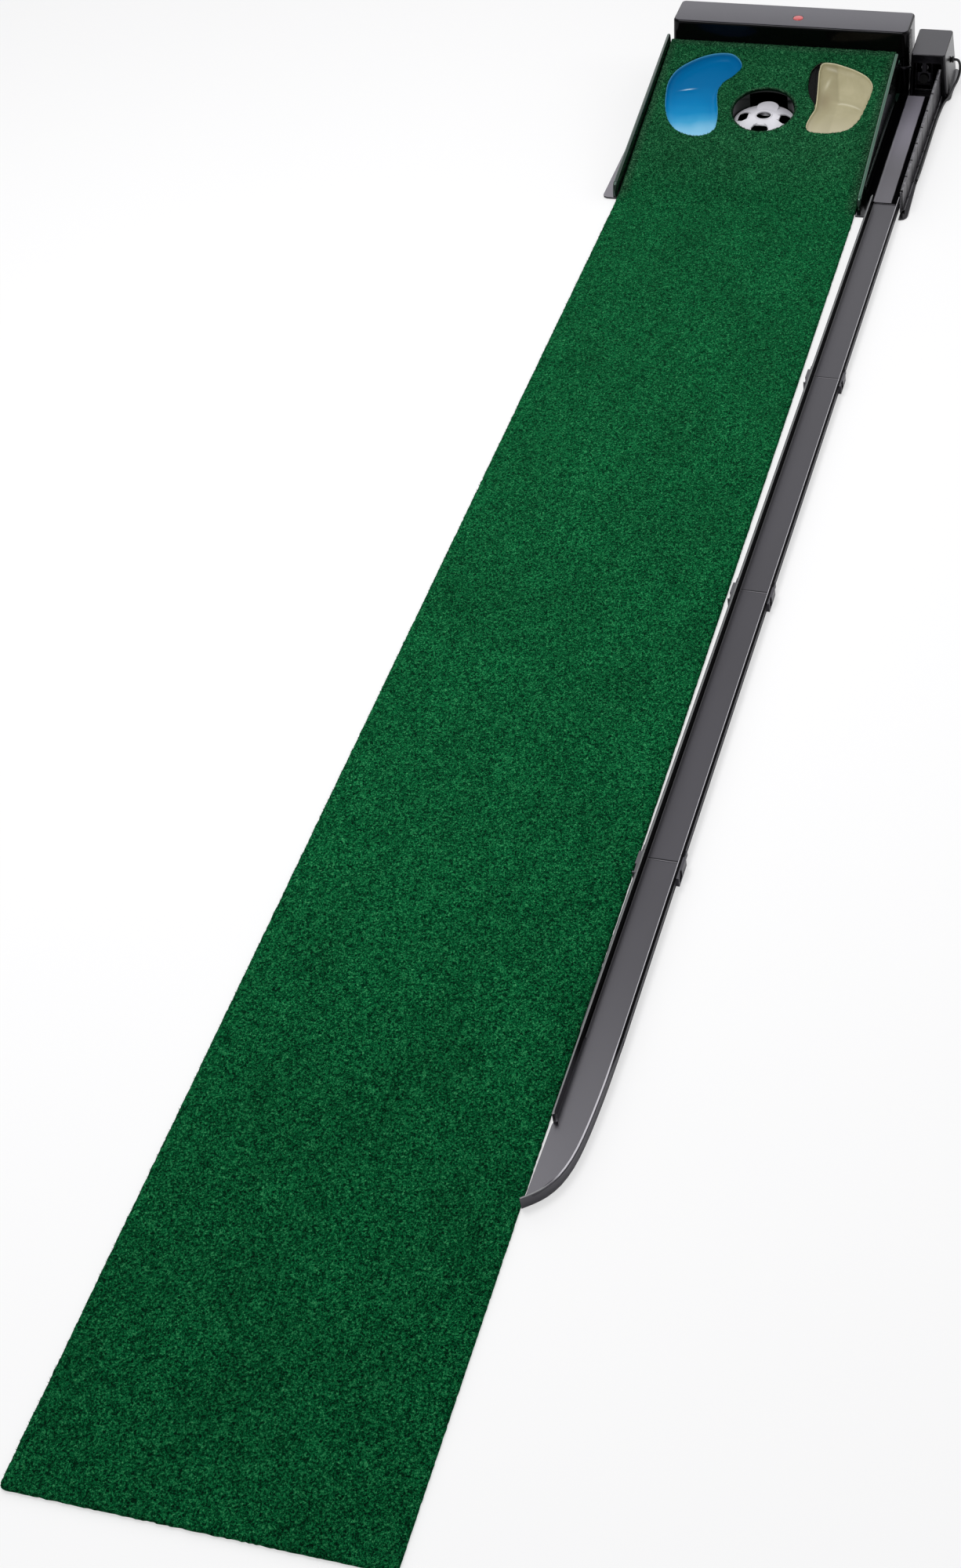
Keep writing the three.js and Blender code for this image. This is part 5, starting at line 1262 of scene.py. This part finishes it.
# foot that the chute floor tucks under
foot = ring_skin("rail_foot", [[P(x, y, z) for x, z in ((211.0, 3.3), (217.4, 3.3), (216.6, 10), (214.2, 21), (212.6, 25.6), (211.0, 26.6))]
                               for y in (56, 60, 200, 346, 350)])
boolean(rail_r, foot, "UNION")
rail_r.data.polygons.foreach_set("use_smooth", [True] * len(rail_r.data.polygons))
finish_edges(rail_r, 0.35, 2, 40, weighted=True)
piece(rail_r, "head", "black_gloss", RAIL, "side_rail_right")


# ------------------------------------------------------- cup target plate
def target_plate():
    R, top, rim = 53.4, 38.3, 28.0
    h = top - rim

    def dome(r):
        return top - h * (r / R) ** 2
    prof = [(12.5, dome(12.5) - 2.2)]
    for r in (14, 20, 26, 32, 38, 44, 49, 52.2):
        prof.append((r, dome(r) - 2.2))
    prof += [(52.9, dome(52.9) - 2.1), (53.3, dome(53.3) - 1.4), (53.35, dome(53.3) - 0.7), (53.0, dome(53) - 0.15)]
    for r in (51.5, 48, 44, 40, 36, 32, 28, 24, 20, 17.5, 16.2, 15.6):
        prof.append((r, dome(r)))
    prof += [(15.15, dome(15.2) + 0.30), (14.9, dome(15) + 0.85), (14.45, dome(14) + 1.22), (13.9, dome(14) + 1.34), (13.3, dome(13) + 1.22), (12.75, dome(13) + 0.75), (12.5, dome(12.5) - 0.1)]
    plate = disc("cup_plate", 0, CUP_Y, prof, 112)
    step = disc("step", 0, CUP_Y + 33.4, [(0, 28.6), (19.6, 28.6), (19.6, 34.2), (19.3, 35.0), (18.6, 35.6), (17.4, 35.8), (0, 35.9)], 96)
    keep = disc("keep", 0, CUP_Y, [(0, 20), (52.9, 20), (52.9, 45), (0, 45)], 112)
    boolean(step, keep, "INTERSECT")
    boolean(plate, step, "UNION")
    for deg in (90, 180, 270):
        pts = np.array([[-11, 28.4], [11, 28.4], [15.6, 36.6], [12.4, 45.2], [-12.4, 45.2], [-15.6, 36.6]], float)
        # rounded corners
        fine = []
        n = len(pts)
        for i in range(n):
            a, b, c = pts[i - 1], pts[i], pts[(i + 1) % n]
            u, w = (a - b) / np.linalg.norm(a - b), (c - b) / np.linalg.norm(c - b)
            p, q = b + u * 1.5, b + w * 1.5
            for k in range(6):
                t = k / 5
                fine.append((1 - t) ** 2 * p + 2 * t * (1 - t) * b + t * t * q)
        a = math.radians(deg)
        fine = np.array(fine)
        rim_rings = []
        for off, up in ((1.5, -1.2), (1.5, -0.1), (1.3, 0.28), (0.9, 0.45), (0.4, 0.46), (-0.5, 0.35), (-0.5, -1.2)):
            q = grow(fine, off)
            rim_rings.append([P(x * math.cos(a) - y * math.sin(a), CUP_Y + x * math.sin(a) + y * math.cos(a), dome(math.hypot(x, y)) + up) for x, y in q])
        slot_rim = ring_skin("slot_rim", rim_rings, closed_v=True)
        trim = disc("trim", 0, CUP_Y, [(0, 10), (51.6, 10), (51.6, 60), (0, 60)], 112)
        boolean(slot_rim, trim, "INTERSECT")
        boolean(plate, slot_rim, "UNION")
        loop = [(x * math.cos(a) - y * math.sin(a), CUP_Y + x * math.sin(a) + y * math.cos(a)) for x, y in fine]
        slot_ob = ring_skin("slot", [[P(x, y, z) for x, y in loop] for z in (20, 60)])
        boolean(plate, slot_ob, "DIFFERENCE")
    # hinge lugs with their bore
    for x in (-14.5, 11.5):
        H = 197.3
        lug = ring_skin("lug", [[P(xx, y, z) for y, z in ((H - 3, 21.4), (H - 2, 20.4), (H + 2, 20.4), (H + 3, 21.4), (H + 4.6, 30.5), (H - 4.2, 29.4))] for xx in (x, x + 3)])
        boolean(plate, lug, "UNION")
        seg = 40
        bore = ring_skin("bore", [[P(xx, H + 1.56 * math.cos(2 * math.pi * i / seg), 23 + 1.56 * math.sin(2 * math.pi * i / seg)) for i in range(seg)] for xx in (x - 1, x + 4)])
        boolean(plate, bore, "DIFFERENCE")
    plate.data.polygons.foreach_set("use_smooth", [True] * len(plate.data.polygons))
    return plate


plate = target_plate()
finish_edges(plate, 0.55, 3, 42, weighted=True)
piece(plate, "target_plate", "white_plastic", WHITE, "cup_target_plate")


# ------------------------------------------------------------ power cord
def cord():
    path = catmull([[290.6, 462, 45], [295, 462, 45], [299.5, 462, 45], [305, 464.5, 42.8], [308.6, 467, 34], [309, 465, 20],
                    [306.4, 456, 9.5], [303.2, 440, 6.1], [301.4, 415, 6], [299.4, 398, 6], [294.6, 380, 6], [291.6, 345, 6],
                    [290.2, 300, 6], [289.6, 220, 6], [289, 150, 6], [288, 118, 6]], 150, closed=False)
    path = np.array([P(*p) for p in path])
    tan = np.gradient(path, axis=0)
    tan /= np.linalg.norm(tan, axis=1)[:, None]
    up = np.array([0, 1.0, 0]) if abs(tan[0][2]) > 0.9 else np.array([0, 0, 1.0])
    u = np.cross(up, tan[0])
    u /= np.linalg.norm(u)
    rings = []
    r = 2.3 / 1000
    for p, t in zip(path, tan):
        u = u - t * (u @ t)
        u /= np.linalg.norm(u)
        w = np.cross(t, u)
        rings.append([tuple(p + r * (u * math.cos(2 * math.pi * k / 18) + w * math.sin(2 * math.pi * k / 18))) for k in range(18)])
    return ring_skin("cord_run", rings)


cord_ob = cord()
finish_edges(cord_ob, 0.4, 2, 60, weighted=True)
piece(cord_ob, "head", "black_rubber", CABLE, "power_cord")


# ---------------------------------------------------------------- the stage
def floor_material():
    s = Shader("studio_floor")
    n = s.noise(s.co, 0.002, 3, 0.5)
    s.set(color=s.mix(n, (0.93, 0.93, 0.935), (0.95, 0.95, 0.95)), rough=0.9, spec=0.1)
    # lit sweep: seen directly it is part self-luminous, which thins the shadows on it
    nt = s.m.node_tree
    out = [q for q in nt.nodes if q.type == "OUTPUT_MATERIAL"][0]
    base = out.inputs["Surface"].links[0].from_socket
    glow = nt.nodes.new("ShaderNodeEmission")
    glow.inputs["Strength"].default_value = 1.0
    path = nt.nodes.new("ShaderNodeLightPath")
    both = nt.nodes.new("ShaderNodeMixShader")
    nt.links.new(s.math("MULTIPLY", path.outputs["Is Camera Ray"], 0.55), both.inputs[0])
    nt.links.new(base, both.inputs[1])
    nt.links.new(glow.outputs[0], both.inputs[2])
    nt.links.new(both.outputs[0], out.inputs["Surface"])
    return s.m


bm = bmesh.new()
bmesh.ops.create_grid(bm, x_segments=4, y_segments=4, size=15.0)
me = bpy.data.meshes.new("studio_floor")
bm.to_mesh(me)
bm.free()
floor = bpy.data.objects.new("studio_floor", me)
floor.location = (0, -1.1, -0.0006)
bpy.context.scene.collection.objects.link(floor)
me.materials.append(floor_material())

world = bpy.data.worlds.new("studio")
bpy.context.scene.world = world
world.use_nodes = True
wt = world.node_tree
wt.nodes.clear()
wo = wt.nodes.new("ShaderNodeOutputWorld")
bg = wt.nodes.new("ShaderNodeBackground")
wc = wt.nodes.new("ShaderNodeTexCoord")
ws = wt.nodes.new("ShaderNodeSeparateXYZ")
wt.links.new(wc.outputs["Generated"], ws.inputs[0])


def wmath(op, a, b, clamp=False):
    n = wt.nodes.new("ShaderNodeMath")
    n.operation, n.use_clamp = op, clamp
    for k, v in enumerate((a, b)):
        if hasattr(v, "is_output"):
            wt.links.new(v, n.inputs[k])
        else:
            n.inputs[k].default_value = v
    return n.outputs[0]


def wstep(v, a, b):
    n = wt.nodes.new("ShaderNodeMapRange")
    n.interpolation_type = "SMOOTHSTEP"
    wt.links.new(v, n.inputs[0])
    n.inputs[1].default_value, n.inputs[2].default_value = a, b
    return n.outputs[0]


# even white room, brighter behind the object and low down
band = wmath("MULTIPLY", wstep(ws.outputs[1], 0.15, 0.75), wmath("MULTIPLY", wstep(ws.outputs[2], 0.05, 0.25), wstep(ws.outputs[2], 0.85, 0.50)))
wt.links.new(wmath("ADD", wmath("MULTIPLY", band, 1.05), 0.46), bg.inputs[1])
bg.inputs[0].default_value = (0.985, 0.985, 1.0, 1)
wt.links.new(bg.outputs[0], wo.inputs[0])


def softbox(name, loc, target, sx, sy, radiance):
    light = bpy.data.lights.new(name, "AREA")
    light.shape = "RECTANGLE"
    light.size, light.size_y = sx, sy
    light.energy = radiance * math.pi * sx * sy
    ob = bpy.data.objects.new(name, light)
    ob.location = loc
    ob.rotation_euler = (Vector(target) - Vector(loc)).to_track_quat("-Z", "Y").to_euler()
    bpy.context.scene.collection.objects.link(ob)
    return ob


softbox("softbox_top", (-0.62, -1.10, 2.75), (0.05, -0.95, 0.0), 1.3, 1.1, 9.5)
softbox("softbox_right", (2.6, 0.6, 1.6), (0.2, 0.0, 0.0), 0.9, 0.9, 3.0)

scene = bpy.context.scene
scene.view_settings.view_transform = "Standard"
scene.view_settings.look = "None"
scene.view_settings.exposure = 0.0

# camera: the viewing position and crop of the reference view
cam_data = bpy.data.cameras.new("camera")
cam = bpy.data.objects.new("camera", cam_data)
scene.collection.objects.link(cam)
scene.camera = cam
F_PX, CX, CY = 2717.2862, 884.8587, 952.0317
R = Matrix(((0.97094979, 0.23154624, -0.06035598),
            (0.12463006, -0.70468614, -0.69848751),
            (-0.20426418, 0.67067413, -0.71307248)))
C = Vector((0.77380814, -3.28075517, 1.91703880))
cam_data.sensor_fit = "AUTO"
cam_data.sensor_width = 36.0
cam_data.lens = F_PX / 2000.0 * 36.0
cam_data.clip_start, cam_data.clip_end = 0.05, 60
rot = R.transposed() @ Matrix.Diagonal((1, -1, -1))
cam.matrix_world = Matrix.Translation(C) @ rot.to_4x4()
# the crop's shift belongs to this viewing position only
for prop, value in (("shift_x", (613.0 - CX) / 2000.0), ("shift_y", (CY - 1000.0) / 2000.0)):
    setattr(cam_data, prop, value)
    drv = cam_data.driver_add(prop).driver
    drv.type = "SCRIPTED"
    for k, axis in enumerate(("LOC_X", "LOC_Y", "LOC_Z")):
        var = drv.variables.new()
        var.name = "xyz"[k]
        var.type = "TRANSFORMS"
        var.targets[0].id = cam
        var.targets[0].transform_type = axis
        var.targets[0].transform_space = "WORLD_SPACE"
    drv.expression = f"{value:.6f} if fabs(x - {C.x:.5f}) + fabs(y - ({C.y:.5f})) + fabs(z - {C.z:.5f}) < 0.002 else 0.0"
